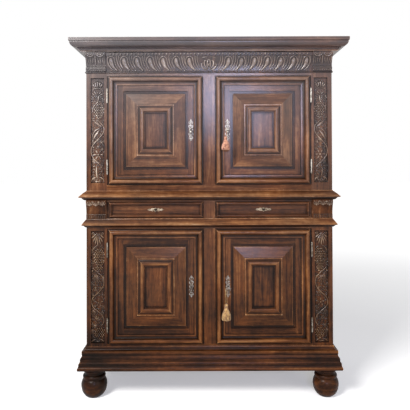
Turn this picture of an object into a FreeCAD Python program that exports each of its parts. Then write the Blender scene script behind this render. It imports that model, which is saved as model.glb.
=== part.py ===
import FreeCAD, Part
import os

# Two-stage carved walnut cupboard, in millimetres.
# The front looks along minus Y, Z is up from the floor and X is zero on the centre line.
# Y is zero halfway between the cornice's front edge and the back.

# Body
BODY_WIDTH = 1380
BODY_DEPTH = 520
OVERRUN = 5
SEAT = 0.3
RUNNING_FIT = 0.05
WIGGLE = 0.2

# Levels, from the floor up
FOOT_HEIGHT = 162
PLINTH_HEIGHT = 125
LOWER_OPENING_Z = 296
LOWER_OPENING_HEIGHT = 646
WAIST_RAIL_HEIGHT = 60
DRAWER_OPENING_HEIGHT = 92
TOP_RAIL_HEIGHT = 32
TABLE_TOP_THICK = 30
UPPER_BOTTOM_RAIL_HEIGHT = 31
UPPER_OPENING_HEIGHT = 614
UPPER_TOP_RAIL_HEIGHT = 181
TOP_BOARD_THICK = 18

# Carcass timber
FRONT_POST_WIDTH = 116
FRONT_POST_DEPTH = 60
REAR_POST_SIZE = 50
RAIL_THICK = 30
STILE_WIDTH = 64
STILE_STOP_WIDTH = 88
STILE_STOP_DEPTH = 28
SIDE_THICK = 28
SIDE_SETBACK = 6
SIDE_PANEL_THICK = 12
SIDE_TONGUE = 8
SIDE_FIELD_RISE = 5
SIDE_FIELD_BEVEL = 30
SIDE_FIELD_MARGIN = 14
LOWER_SIDE_RAIL_HEIGHT = 158
UPPER_SIDE_RAIL_HEIGHT = 90
REAR_RAIL_HEIGHT = 60
REAR_RAIL_THICK = 26
BACK_BOARD_THICK = 16
BACK_BOARD_COUNT = 7
BACK_BOARD_GAP = 1
BOARD_THICK = 18
DOOR_STOP_RISE = 12
BATTEN = 20
SHELF_SETBACK = 40
SHELF_HEIGHT_SHARE = 0.48
DUST_BOARD_THICK = 12

# Sunk field of the front posts
FIELD_WIDTH = 77
FIELD_EDGE = 15
FIELD_SINK = 8
FIELD_END = 12

# Mouldings round the body
PLINTH_PROJECTION = 44
WAIST_PROJECTION = 24
WAIST_HEIGHT = 48
WAIST_DROP = 9
TABLE_PROJECTION = 38
TABLE_MOULDING_HEIGHT = 53
BEAD_PROJECTION = 6
BEAD_HEIGHT = 9
BEAD_RISE = 14
CORNICE_PROJECTION = 80
CORNICE_HEIGHT = 67

# Frieze and carved blocks
FRIEZE_HEIGHT = 103
FRIEZE_PROJECTION = 24
BLOCK_WIDTH = 112
BLOCK_FLARE = 34
BLOCK_FOOT = 12
DRAWER_BLOCK_FLARE = 17
DRAWER_BLOCK_FOOT = 6

# Feet
FOOT_RADIUS = 72
FOOT_INSET = 35
SPIGOT_RADIUS = 14
SPIGOT_LENGTH = 40
REAR_FOOT_SIZE = 60
REAR_FOOT_OUT = 42

# Doors: leaf, relief from the outer edge inwards, and how far each step stands out
LEAF_THICK = 28
LEAF_GAP = 2
HINGE_GAP = 3
LOCK_MARGIN = 4
HINGE_MARGIN = 8
DOOR_MOULDING_WIDTH = 48
DOOR_MOULDING_RISE = 22
BAND_WIDTH = 33
RECESS_WIDTH = 16
RECESS_SINK = 6
BEVEL_WIDTH = 62
BEVEL_FOOT = 5
BEVEL_RISE = 18
RING_WIDTH = 45
RING_RISE = 13
PANEL_THICK = 14
PANEL_TONGUE = 8
PANEL_TONGUE_THICK = 7

# Door hinges
HINGE_BARREL_RADIUS = 4.5
HINGE_PIN_RADIUS = 2.5
HINGE_KNUCKLE_LENGTH = 38
HINGE_TIP_LENGTH = 4
HINGE_TIP_RADIUS = 2.5
HINGE_LEAF_THICK = 2
HINGE_LEAF_DEPTH = 24
HINGE_INSET_SHARES = (0.165, 0.817)

# Door locks
KEY_INSET = 68.5
LOCK_EDGE_GAP = 3
LOCK_WIDTH = 70
LOCK_HEIGHT = 96
LOCK_THICK = 18
BOLT_HEIGHT = 13
BOLT_THICK = 8
BOLT_LIFT = 6.5
BOLT_THROW = 10
BOLT_LENGTH = 58
BOLT_NOTCH_START = 7
BOLT_NOTCH_WIDTH = 8
BOLT_NOTCH_DEPTH = 5
STRIKE_THICK = 2
STRIKE_HEIGHT = 46
STRIKE_WIDTH = 22
MORTISE_CLEARANCE = 1
KEYHOLE_RADIUS = 4.5
KEYHOLE_SLOT_WIDTH = 4.5
KEYHOLE_SLOT_DROP = 13
SCREW_RADIUS = 2
SCREW_HEAD_RADIUS = 4
SCREW_HEAD_HEIGHT = 2
SCREW_GRIP = 10
SCREW_INSET = 7

# Escutcheons
ESCUTCHEON_WIDTH = 27
ESCUTCHEON_HEIGHT = 124
ESCUTCHEON_THICK = 1.6
NAIL_RADIUS = 1
NAIL_HEAD_RADIUS = 2.2
NAIL_HEAD_HEIGHT = 1.2
NAIL_LENGTH = 9
NAIL_INSET = 8

# Keys and tassels
KEY_STEM_RADIUS = 3
KEY_BIT_REACH = 10
KEY_BIT_THICK = 3
KEY_BIT_WIDTH = 7
KEY_BOW_OUT = 52
KEY_BOW_RADIUS = 12
KEY_WIRE_RADIUS = 2.5
KEY_COLLAR_RADIUS = 4.6
KEY_COLLAR_WIDTH = 4
KEY_COLLAR_STAND = 6
LOOP_CORD_RADIUS = 1
LOOP_HALF_WIDTH = 4.2
TASSEL_RADIUS = 26
UPPER_LOOP_LENGTH = 40
UPPER_TASSEL_LENGTH = 73
LOWER_LOOP_LENGTH = 84
LOWER_TASSEL_LENGTH = 88
LOOP_GRIP_SHARE = 0.08

# Drawers
DRAWER_FRONT_THICK = 22
DRAWER_SINK = 5
DRAWER_MOULDING_WIDTH = 15
DRAWER_MOULDING_RISE = 14
DRAWER_EDGE = 6
DRAWER_REAR_GAP = 51
DRAWER_SIDE_THICK = 12
DRAWER_SIDE_INSET = 4
DRAWER_SIDE_DROP = 14
DRAWER_BACK_THICK = 10
DRAWER_BOTTOM_THICK = 8
DRAWER_BOTTOM_LIFT = 6
DRAWER_GROOVE = 6
RUNNER_WIDTH = 34
RUNNER_THICK = 14
GUIDE_HEIGHT = 40
GUIDE_GAP = 1
DRAWER_LOCK_WIDTH = 60
DRAWER_LOCK_THICK = 12
DRAWER_LOCK_DROP = 1
DRAWER_BOLT_WIDTH = 14
DRAWER_BOLT_THICK = 5
DRAWER_BOLT_LENGTH = 26
DRAWER_BOLT_THROW = 8
DRAWER_ESCUTCHEON_WIDTH = 91
DRAWER_ESCUTCHEON_HEIGHT = 25

# Places worked out from the sizes
HALF = BODY_WIDTH / 2
FACE_Y = (CORNICE_PROJECTION - BODY_DEPTH) / 2
BACK_Y = FACE_Y + BODY_DEPTH
POST_X = HALF - FRONT_POST_WIDTH
POST_Y = FACE_Y + FRONT_POST_DEPTH
REAR_POST_X = HALF - REAR_POST_SIZE
REAR_POST_Y = BACK_Y - REAR_POST_SIZE
RAIL_Y = FACE_Y + RAIL_THICK
SIDE_INNER_X = HALF - SIDE_THICK
REAR_RAIL_Y = BACK_Y - BACK_BOARD_THICK - REAR_RAIL_THICK
BACK_BOARD_Y = BACK_Y - BACK_BOARD_THICK

LOWER_OPENING_TOP = LOWER_OPENING_Z + LOWER_OPENING_HEIGHT
DRAWER_OPENING_Z = LOWER_OPENING_TOP + WAIST_RAIL_HEIGHT
DRAWER_OPENING_TOP = DRAWER_OPENING_Z + DRAWER_OPENING_HEIGHT
TABLE_TOP_Z = DRAWER_OPENING_TOP + TOP_RAIL_HEIGHT
UPPER_Z = TABLE_TOP_Z + TABLE_TOP_THICK
UPPER_OPENING_Z = UPPER_Z + UPPER_BOTTOM_RAIL_HEIGHT
UPPER_OPENING_TOP = UPPER_OPENING_Z + UPPER_OPENING_HEIGHT
UPPER_POST_TOP = UPPER_OPENING_TOP + UPPER_TOP_RAIL_HEIGHT
TOTAL_HEIGHT = UPPER_POST_TOP + TOP_BOARD_THICK
LOWER_FLOOR_TOP = LOWER_OPENING_Z + DOOR_STOP_RISE
UPPER_FLOOR_TOP = UPPER_OPENING_Z + DOOR_STOP_RISE
LOWER_SHELF_Z = LOWER_FLOOR_TOP + SHELF_HEIGHT_SHARE * LOWER_OPENING_HEIGHT
UPPER_SHELF_Z = UPPER_FLOOR_TOP + SHELF_HEIGHT_SHARE * UPPER_OPENING_HEIGHT
SHELF_FRONT_Y = RAIL_Y + SHELF_SETBACK
RUNNER_TOP = DRAWER_OPENING_Z + LEAF_GAP - SEAT
DUST_BOARD_TOP = RUNNER_TOP - RUNNER_THICK

OPENING_X0 = STILE_WIDTH / 2
LEAF_X0 = OPENING_X0 + LEAF_GAP
LEAF_X1 = POST_X - HINGE_GAP
RELIEF_X0 = LEAF_X0 + LOCK_MARGIN
RELIEF_X1 = LEAF_X1 - HINGE_MARGIN
LEAF_BACK_Y = FACE_Y + LEAF_THICK
HINGE_X = POST_X - HINGE_GAP / 2
HINGE_Y = FACE_Y - HINGE_BARREL_RADIUS - SEAT
KEY_X = LEAF_X0 + KEY_INSET
LOCK_X0 = STILE_STOP_WIDTH / 2 + LOCK_EDGE_GAP
BOLT_Y0 = LEAF_BACK_Y + (LOCK_THICK - BOLT_THICK) / 2


# Plain solids

def vector(x, y, z):
    return FreeCAD.Vector(x, y, z)


def block(x0, x1, y0, y1, z0, z1):
    """A box between three pairs of planes."""
    return Part.makeBox(x1 - x0, y1 - y0, z1 - z0, vector(x0, y0, z0))


def upright(radius, x, y, z0, z1):
    return Part.makeCylinder(radius, z1 - z0, vector(x, y, z0), vector(0, 0, 1))


def along_y(radius, x, y0, y1, z):
    return Part.makeCylinder(radius, y1 - y0, vector(x, y0, z), vector(0, 1, 0))


def mirrored(shape):
    """The same piece on the other side of the centre line."""
    return shape.mirror(vector(0, 0, 0), vector(1, 0, 0))


def both_sides(shapes):
    return list(shapes) + [mirrored(shape) for shape in shapes]


def cut_all(shape, cutters):
    for cutter in cutters:
        shape = shape.cut(cutter)
    return shape


def outline_face(points, place):
    """A face inside an outline; a point of four numbers is an arc's middle and its end."""
    edges = []
    last = place(*points[-1][-2:])
    for point in points:
        end = place(*point[-2:])
        if len(point) == 4:
            edges.append(Part.Arc(last, place(*point[:2]), end).toShape())
        else:
            edges.append(Part.LineSegment(last, end).toShape())
        last = end
    return Part.Face(Part.Wire(edges))


def scaled_outline(shares, width, height):
    """Outline points in millimetres from shares of a width and a height."""
    sizes = (width, height, width, height)
    return [tuple(share * size for share, size in zip(point, sizes[-len(point):])) for point in shares]


def plan_prism(points, z0, z1):
    """A prism that stands on an outline drawn in plan."""
    face = outline_face(points, lambda x, y: vector(x, y, z0))
    return face.extrude(vector(0, 0, z1 - z0))


def front_prism(points, y0, y1):
    """A prism that runs back from an outline drawn on the front."""
    face = outline_face(points, lambda x, z: vector(x, y0, z))
    return face.extrude(vector(0, y1 - y0, 0))


def frustum(outer, inner, y_outer, y_inner):
    """A bevelled field between an outer rectangle and a smaller one in front of it."""
    wires = []
    for (x0, x1, z0, z1), y in ((outer, y_outer), (inner, y_inner)):
        corners = [vector(x0, y, z0), vector(x1, y, z0), vector(x1, y, z1), vector(x0, y, z1)]
        wires.append(Part.makePolygon(corners + corners[:1]))
    return Part.makeLoft(wires, True, True)


def lathe(points, x, y, z):
    """A turned piece from an outline of radius and height."""
    face = outline_face(points, lambda r, h: vector(x + r, y, z + h))
    return face.revolve(vector(x, y, z), vector(0, 0, 1), 360)


# Runs of moulding

def wrapped_moulding(shares, projection, height, base_z):
    """Front run and two mitred side returns of a moulding fixed round the body."""
    points = scaled_outline(shares, projection, height)
    face = outline_face(points, lambda p, h: vector(p, 0, h))
    side_length = BACK_Y - FACE_Y + projection
    side = face.extrude(vector(0, side_length, 0))
    side.translate(vector(HALF, FACE_Y - projection, base_z))
    front_length = BODY_WIDTH + projection + projection
    front = face.extrude(vector(0, front_length, 0))
    front.rotate(vector(0, 0, 0), vector(0, 0, 1), -90)
    front.translate(vector(-front_length / 2, FACE_Y, base_z))
    front_x = HALF + projection
    front_y = FACE_Y - projection
    top_z = base_z + height
    front_plan = [(-HALF, FACE_Y), (HALF, FACE_Y), (front_x, front_y), (-front_x, front_y)]
    side_plan = [(HALF, FACE_Y), (HALF, BACK_Y), (front_x, BACK_Y), (front_x, front_y)]
    front = front.common(plan_prism(front_plan, base_z, top_z))
    side = side.common(plan_prism(side_plan, base_z, top_z))
    return [front] + both_sides([side])


def mitred_frame(shares, width, rise, x0, x1, z0, z1, y):
    """Four mitred lengths of moulding laid on a face, round a rectangle."""
    points = scaled_outline(shares, width, rise)
    face = outline_face(points, lambda d, h: vector(d, -h, 0))
    near = y - rise - OVERRUN
    far = y + OVERRUN
    upright_run = face.extrude(vector(0, 0, z1 - z0))
    left = upright_run.translated(vector(x0, y, z0))
    left_outline = [(x0, z0), (x0 + width, z0 + width), (x0 + width, z1 - width), (x0, z1)]
    left = left.common(front_prism(left_outline, near, far))
    right = left.mirror(vector((x0 + x1) / 2, 0, 0), vector(1, 0, 0))
    level_run = face.extrude(vector(0, 0, x1 - x0))
    level_run.rotate(vector(0, 0, 0), vector(0, 1, 0), -90)
    bottom = level_run.translated(vector(x1, y, z0))
    bottom_outline = [(x0, z0), (x1, z0), (x1 - width, z0 + width), (x0 + width, z0 + width)]
    bottom = bottom.common(front_prism(bottom_outline, near, far))
    top = bottom.mirror(vector(0, 0, (z0 + z1) / 2), vector(0, 0, 1))
    return [left, right, bottom, top]


# Outlines as shares of each moulding's projection and height

PLINTH_SHARES = [
    (0.05, 1), (0.12, 0.94), (0.18, 0.86, 0.42, 0.82), (0.52, 0.82), (0.52, 0.7),
    (0.48, 0.63), (0.6, 0.5), (0.7, 0.5), (0.7, 0.36), (0.78, 0.3), (0.86, 0.3), (0.86, 0.22),
    (0.92, 0.15), (1, 0.08, 0.93, 0), (0, 0), (0, 1),
]
WAIST_SHARES = [
    (0.06, 1), (0.14, 0.9), (0.5, 0.68, 0.86, 0.42), (1, 0.34), (0.92, 0.24),
    (0.6, 0.2), (0.4, 0.1, 0.22, 0), (0, 0), (0, 1),
]
TABLE_SHARES = [
    (0.05, 1), (0.12, 0.92), (0.46, 0.74, 0.86, 0.46), (1, 0.4), (0.94, 0.3),
    (0.62, 0.26), (0.44, 0.1, 0.26, 0), (0, 0), (0, 1),
]
BEAD_SHARES = [(0.4, 0), (1, 0.5, 0.4, 1), (0, 1), (0, 0)]
FRIEZE_SHARES = [
    (0.17, 0), (0.17, 0.08), (0.42, 0.5, 0.86, 0.8), (1, 0.83), (1, 1), (0, 1), (0, 0),
]
BLOCK_FOOT_SHARES = [(1, 0), (1, 0.2), (0.5, 0.24), (0.55, 0.4)]
BLOCK_FLARE_SHARES = [(0.6, 0.7, 1, 0.86), (1, 1), (0, 1), (0, 0)]
CORNICE_SHARES = [
    (1, 1), (1, 0.74), (0.94, 0.7), (0.9, 0.46, 0.56, 0.3), (0.52, 0.3), (0.52, 0.2),
    (0.44, 0.18), (0.4, 0.08), (0.33, 0.06), (0.33, 0), (0, 0), (0, 1),
]
DOOR_MOULDING_SHARES = [
    (0, 0), (0, 0.36), (0.06, 0.42), (0.27, 1, 0.54, 0.62), (0.56, 0.5),
    (0.66, 0.26, 0.84, 0.2), (1, 0.16), (1, 0),
]
RING_SHARES = [
    (0, 0), (0, 0.25), (0.1, 0.25), (0.18, 0.36, 0.36, 0.78), (0.4, 0.78),
    (0.62, 1, 0.84, 0.66), (0.9, 0.4), (1, 0.4), (1, 0),
]
DRAWER_MOULDING_SHARES = [
    (0, 0), (0, 0.7), (0.2, 0.86), (0.5, 1, 0.72, 0.8), (0.8, 0.55), (1, 0.4), (1, 0),
]
FOOT_SHARES = [
    (0.56, 0), (0.8, 0.1, 0.97, 0.3), (1, 0.42, 0.9, 0.58), (0.84, 0.62), (0.84, 0.65),
    (0.88, 0.7, 0.8, 0.76), (0.74, 0.78), (0.74, 0.84), (0.82, 0.88, 0.78, 0.94),
    (0.78, 1), (0, 1), (0, 0),
]
ESCUTCHEON_SHARES = [
    (0, 1), (0.55, 0.72), (0.33, 0.44, 1, 0.16), (1, -0.16), (0.33, -0.44, 0.55, -0.72), (0, -1),
    (-0.55, -0.72), (-0.33, -0.44, -1, -0.16), (-1, 0.16), (-0.33, 0.44, -0.55, 0.72),
]
UPPER_TASSEL_SHARES = [
    (0.1, 1), (0.34, 0.99, 0.36, 0.86), (0.28, 0.8), (0.6, 0.74, 0.72, 0.6),
    (0.94, 0.3, 1, 0), (0, 0), (0, 1),
]
LOWER_TASSEL_SHARES = [
    (0.1, 1), (0.3, 0.98, 0.32, 0.86), (0.24, 0.8), (0.78, 0.6, 0.96, 0.3),
    (1, 0.14, 0.92, 0), (0, 0), (0, 1),
]


# Lower stage and shared carcass pieces

def make_front_feet():
    x = HALF - FOOT_INSET
    y = FACE_Y + FOOT_INSET
    foot = lathe(scaled_outline(FOOT_SHARES, FOOT_RADIUS, FOOT_HEIGHT), x, y, 0)
    spigot = upright(SPIGOT_RADIUS, x, y, 0, FOOT_HEIGHT + SPIGOT_LENGTH)
    return both_sides([foot.fuse(spigot).removeSplitter()])


def make_rear_feet():
    outer = HALF + REAR_FOOT_OUT
    foot = block(outer - REAR_FOOT_SIZE, outer, BACK_Y - REAR_FOOT_SIZE, BACK_Y, 0, FOOT_HEIGHT)
    return both_sides([foot])


def side_panel_box(z0, z1, clearance):
    """The panel of a side frame with its tongues, or the groove that takes it."""
    outer = HALF - SIDE_SETBACK + clearance
    return block(
        outer - SIDE_PANEL_THICK - clearance - clearance, outer,
        POST_Y - SIDE_TONGUE - clearance, REAR_POST_Y + SIDE_TONGUE + clearance,
        z0 - SIDE_TONGUE - clearance, z1 + SIDE_TONGUE + clearance,
    )


def make_posts(z0, z1, field_z0, field_z1, grooves):
    """Front posts with their sunk field, and plain rear posts, grooved for the side panels."""
    front = block(POST_X, HALF, FACE_Y, POST_Y, z0, z1)
    field_x0 = POST_X + FIELD_EDGE
    sunk = block(
        field_x0, field_x0 + FIELD_WIDTH, FACE_Y - OVERRUN, FACE_Y + FIELD_SINK,
        field_z0, field_z1,
    )
    front = cut_all(front, [sunk] + grooves)
    rear = cut_all(block(REAR_POST_X, HALF, REAR_POST_Y, BACK_Y, z0, z1), grooves)
    return front, rear


def make_side(rails, panels):
    """Rails between the posts, and a raised panel in each space between them."""
    grooves = [side_panel_box(z0, z1, WIGGLE) for z0, z1 in panels]
    pieces = []
    for z0, z1 in rails:
        rail = block(SIDE_INNER_X, HALF, POST_Y, REAR_POST_Y, z0, z1)
        pieces.append(cut_all(rail, grooves))
    for z0, z1 in panels:
        plate = side_panel_box(z0, z1, 0)
        margin = SIDE_FIELD_MARGIN
        bevel = min(SIDE_FIELD_BEVEL, (z1 - z0) / 2 - margin - margin)
        outer = (POST_Y + margin, REAR_POST_Y - margin, z0 + margin, z1 - margin)
        inner = (outer[0] + bevel, outer[1] - bevel, outer[2] + bevel, outer[3] - bevel)
        field = frustum(outer, inner, 0, -SIDE_FIELD_RISE)
        field.rotate(vector(0, 0, 0), vector(0, 0, 1), 90)
        field.translate(vector(HALF - SIDE_SETBACK, 0, 0))
        pieces.append(plate.fuse(field).removeSplitter())
    return pieces


LOWER_SIDE_PANELS = [
    (FOOT_HEIGHT + LOWER_SIDE_RAIL_HEIGHT, LOWER_OPENING_TOP),
    (DRAWER_OPENING_Z, DRAWER_OPENING_TOP),
]
LOWER_SIDE_RAILS = [
    (FOOT_HEIGHT, FOOT_HEIGHT + LOWER_SIDE_RAIL_HEIGHT),
    (LOWER_OPENING_TOP, DRAWER_OPENING_Z),
    (DRAWER_OPENING_TOP, TABLE_TOP_Z),
]
UPPER_SIDE_PANELS = [(UPPER_Z + UPPER_SIDE_RAIL_HEIGHT, UPPER_OPENING_TOP)]
UPPER_SIDE_RAILS = [
    (UPPER_Z, UPPER_Z + UPPER_SIDE_RAIL_HEIGHT),
    (UPPER_OPENING_TOP, UPPER_POST_TOP),
]


def make_lower_posts():
    grooves = [side_panel_box(z0, z1, WIGGLE) for z0, z1 in LOWER_SIDE_PANELS]
    field = (LOWER_OPENING_Z + FIELD_END / 2, LOWER_OPENING_TOP - FIELD_END)
    front, rear = make_posts(FOOT_HEIGHT, TABLE_TOP_Z, *field, grooves)
    hole = upright(
        SPIGOT_RADIUS + WIGGLE, HALF - FOOT_INSET, FACE_Y + FOOT_INSET,
        FOOT_HEIGHT - OVERRUN, FOOT_HEIGHT + SPIGOT_LENGTH + WIGGLE,
    )
    return both_sides([front.cut(hole), rear])


def make_upper_posts():
    grooves = [side_panel_box(z0, z1, WIGGLE) for z0, z1 in UPPER_SIDE_PANELS]
    field = (UPPER_OPENING_Z + FIELD_END, UPPER_OPENING_TOP - FIELD_END)
    front, rear = make_posts(UPPER_Z, UPPER_POST_TOP, *field, grooves)
    return both_sides([front, rear])


def bolt_mortises(key_z):
    """Pockets in a centre stile's stops for the bolts of both doors, with a seat for the strike plate."""
    stop_x = STILE_STOP_WIDTH / 2
    reach = LOCK_X0 - BOLT_THROW - MORTISE_CLEARANCE
    z0 = key_z + BOLT_LIFT - MORTISE_CLEARANCE
    z1 = key_z + BOLT_LIFT + BOLT_HEIGHT + MORTISE_CLEARANCE
    y0 = BOLT_Y0 - MORTISE_CLEARANCE
    y1 = BOLT_Y0 + BOLT_THICK + MORTISE_CLEARANCE
    return both_sides([block(reach, stop_x + OVERRUN, y0, y1, z0, z1)])


def strike_plates(key_z):
    stop_x = STILE_STOP_WIDTH / 2
    middle_z = key_z + BOLT_LIFT + BOLT_HEIGHT / 2
    return both_sides([block(
        stop_x - STRIKE_THICK, stop_x, RAIL_Y, RAIL_Y + STRIKE_WIDTH,
        middle_z - STRIKE_HEIGHT / 2, middle_z + STRIKE_HEIGHT / 2,
    )])


def make_strike_plates():
    plates = []
    lower_key_z = door_key_z(LOWER_OPENING_Z, LOWER_OPENING_HEIGHT)
    upper_key_z = door_key_z(UPPER_OPENING_Z, UPPER_OPENING_HEIGHT)
    for key_z in (lower_key_z, upper_key_z):
        plates += [cut_all(plate, bolt_mortises(key_z)) for plate in strike_plates(key_z)]
    return plates


def door_key_z(opening_z, opening_height):
    return opening_z + opening_height / 2


def make_centre_stile(opening_z, opening_height, floor_top):
    """The stile between two doors, with a wider back that stops them."""
    top = opening_z + opening_height
    stile = block(-OPENING_X0, OPENING_X0, FACE_Y, RAIL_Y, opening_z, top)
    half_stop = STILE_STOP_WIDTH / 2
    stop = block(-half_stop, half_stop, RAIL_Y, RAIL_Y + STILE_STOP_DEPTH, floor_top, top)
    key_z = door_key_z(opening_z, opening_height)
    cutters = bolt_mortises(key_z) + strike_plates(key_z)
    return cut_all(stile.fuse(stop).removeSplitter(), cutters)


def front_rail(z0, z1):
    return block(-POST_X, POST_X, FACE_Y, RAIL_Y, z0, z1)


def rear_rail(z0, z1):
    return block(-REAR_POST_X, REAR_POST_X, REAR_RAIL_Y, BACK_BOARD_Y, z0, z1)


def drawer_bolt_holes():
    """Pockets in the top rail for the bolts of both drawer locks."""
    y0 = FACE_Y + DRAWER_SINK + DRAWER_FRONT_THICK + (DRAWER_LOCK_THICK - DRAWER_BOLT_THICK) / 2
    half = DRAWER_BOLT_WIDTH / 2 + MORTISE_CLEARANCE
    return both_sides([block(
        drawer_key_x() - half, drawer_key_x() + half,
        y0 - MORTISE_CLEARANCE, y0 + DRAWER_BOLT_THICK + MORTISE_CLEARANCE,
        DRAWER_OPENING_TOP - OVERRUN, DRAWER_OPENING_TOP + DRAWER_BOLT_THROW + MORTISE_CLEARANCE,
    )])


def make_lower_front_frame():
    top_rail = block(
        -POST_X, POST_X, FACE_Y,
        RAIL_Y + DRAWER_LOCK_THICK, DRAWER_OPENING_TOP, TABLE_TOP_Z,
    )
    return [
        front_rail(FOOT_HEIGHT, LOWER_OPENING_Z),
        front_rail(LOWER_OPENING_TOP, DRAWER_OPENING_Z),
        cut_all(top_rail, drawer_bolt_holes()),
        make_centre_stile(LOWER_OPENING_Z, LOWER_OPENING_HEIGHT, LOWER_FLOOR_TOP),
        block(-OPENING_X0, OPENING_X0, FACE_Y, RAIL_Y, DRAWER_OPENING_Z, DRAWER_OPENING_TOP),
        rear_rail(FOOT_HEIGHT, FOOT_HEIGHT + REAR_RAIL_HEIGHT),
        rear_rail(TABLE_TOP_Z - REAR_RAIL_HEIGHT, TABLE_TOP_Z),
    ]


def make_upper_front_frame():
    return [
        front_rail(UPPER_Z, UPPER_OPENING_Z),
        front_rail(UPPER_OPENING_TOP, UPPER_POST_TOP),
        make_centre_stile(UPPER_OPENING_Z, UPPER_OPENING_HEIGHT, UPPER_FLOOR_TOP),
        rear_rail(UPPER_Z, UPPER_Z + REAR_RAIL_HEIGHT),
        rear_rail(UPPER_POST_TOP - REAR_RAIL_HEIGHT, UPPER_POST_TOP),
    ]


def level_board(y0, z0, z1):
    """A board between the side frames, notched round the posts."""
    board = block(-SIDE_INNER_X, SIDE_INNER_X, y0, REAR_RAIL_Y, z0, z1)
    notches = both_sides([
        block(POST_X, HALF, FACE_Y, POST_Y, z0 - OVERRUN, z1 + OVERRUN),
        block(REAR_POST_X, HALF, REAR_POST_Y, BACK_Y, z0 - OVERRUN, z1 + OVERRUN),
    ])
    return cut_all(board, notches)


def side_battens(top_z):
    """Two battens along the side frames that carry a board at the given height."""
    x0 = SIDE_INNER_X - BATTEN
    return both_sides([block(x0, SIDE_INNER_X, POST_Y, REAR_POST_Y, top_z - BATTEN, top_z)])


def make_lower_boards():
    floor_z = LOWER_FLOOR_TOP - BOARD_THICK
    dust_z = DUST_BOARD_TOP - DUST_BOARD_THICK
    boards = [
        level_board(RAIL_Y, floor_z, LOWER_FLOOR_TOP),
        level_board(SHELF_FRONT_Y, LOWER_SHELF_Z, LOWER_SHELF_Z + BOARD_THICK),
        level_board(RAIL_Y, dust_z, DUST_BOARD_TOP),
    ]
    return boards + side_battens(floor_z) + side_battens(LOWER_SHELF_Z) + side_battens(dust_z)


def make_upper_boards():
    floor_z = UPPER_FLOOR_TOP - BOARD_THICK
    boards = [
        level_board(RAIL_Y, floor_z, UPPER_FLOOR_TOP),
        level_board(SHELF_FRONT_Y, UPPER_SHELF_Z, UPPER_SHELF_Z + BOARD_THICK),
        block(-HALF, HALF, FACE_Y, BACK_Y, UPPER_POST_TOP, TOTAL_HEIGHT),
    ]
    return boards + side_battens(floor_z) + side_battens(UPPER_SHELF_Z)


def make_back_boards(z0, z1):
    """Upright planks with open joints, nailed on the rear rails."""
    width = (REAR_POST_X + REAR_POST_X - BACK_BOARD_GAP * (BACK_BOARD_COUNT + 1)) / BACK_BOARD_COUNT
    planks = []
    for index in range(BACK_BOARD_COUNT):
        x0 = -REAR_POST_X + BACK_BOARD_GAP + index * (width + BACK_BOARD_GAP)
        planks.append(block(x0, x0 + width, BACK_BOARD_Y, BACK_Y, z0, z1))
    return planks


def make_table_top():
    return [block(-HALF, HALF, FACE_Y, BACK_Y, TABLE_TOP_Z, UPPER_Z)]


def make_plinth_moulding():
    return wrapped_moulding(PLINTH_SHARES, PLINTH_PROJECTION, PLINTH_HEIGHT, FOOT_HEIGHT)


def make_waist_moulding():
    waist_z = LOWER_OPENING_TOP + WAIST_DROP
    table_z = UPPER_Z - TABLE_MOULDING_HEIGHT
    lower = wrapped_moulding(WAIST_SHARES, WAIST_PROJECTION, WAIST_HEIGHT, waist_z)
    upper = wrapped_moulding(TABLE_SHARES, TABLE_PROJECTION, TABLE_MOULDING_HEIGHT, table_z)
    return lower + upper


def make_frieze():
    """A bead round the body, and the swelling board over the doors that carries the gadroons."""
    bead_z = UPPER_OPENING_TOP + BEAD_RISE
    base_z = bead_z + BEAD_HEIGHT
    points = scaled_outline(FRIEZE_SHARES, FRIEZE_PROJECTION, FRIEZE_HEIGHT)
    face = outline_face(points, lambda p, h: vector(0, FACE_Y - p, base_z + h))
    inner = HALF - BLOCK_WIDTH
    board = face.extrude(vector(inner + inner, 0, 0))
    board.translate(vector(-inner, 0, 0))
    return [board] + wrapped_moulding(BEAD_SHARES, BEAD_PROJECTION, BEAD_HEIGHT, bead_z)


def carved_block(z0, z1, foot, flare):
    """A block beside the frieze or the drawers: a hollow front that flares towards its top."""
    height = z1 - z0
    points = scaled_outline(BLOCK_FOOT_SHARES, foot, height)
    points += scaled_outline(BLOCK_FLARE_SHARES, flare, height)
    face = outline_face(points, lambda p, h: vector(HALF - BLOCK_WIDTH, FACE_Y - p, z0 + h))
    return both_sides([face.extrude(vector(BLOCK_WIDTH, 0, 0))])


def make_frieze_corner_blocks():
    base_z = UPPER_OPENING_TOP + BEAD_RISE + BEAD_HEIGHT
    return carved_block(base_z, base_z + FRIEZE_HEIGHT, BLOCK_FOOT, BLOCK_FLARE)


def make_drawer_corner_blocks():
    base_z = LOWER_OPENING_TOP + WAIST_DROP + WAIST_HEIGHT
    top_z = UPPER_Z - TABLE_MOULDING_HEIGHT
    return carved_block(base_z, top_z, DRAWER_BLOCK_FOOT, DRAWER_BLOCK_FLARE)


def make_cornice():
    base_z = TOTAL_HEIGHT - CORNICE_HEIGHT
    return wrapped_moulding(CORNICE_SHARES, CORNICE_PROJECTION, CORNICE_HEIGHT, base_z)


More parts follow.
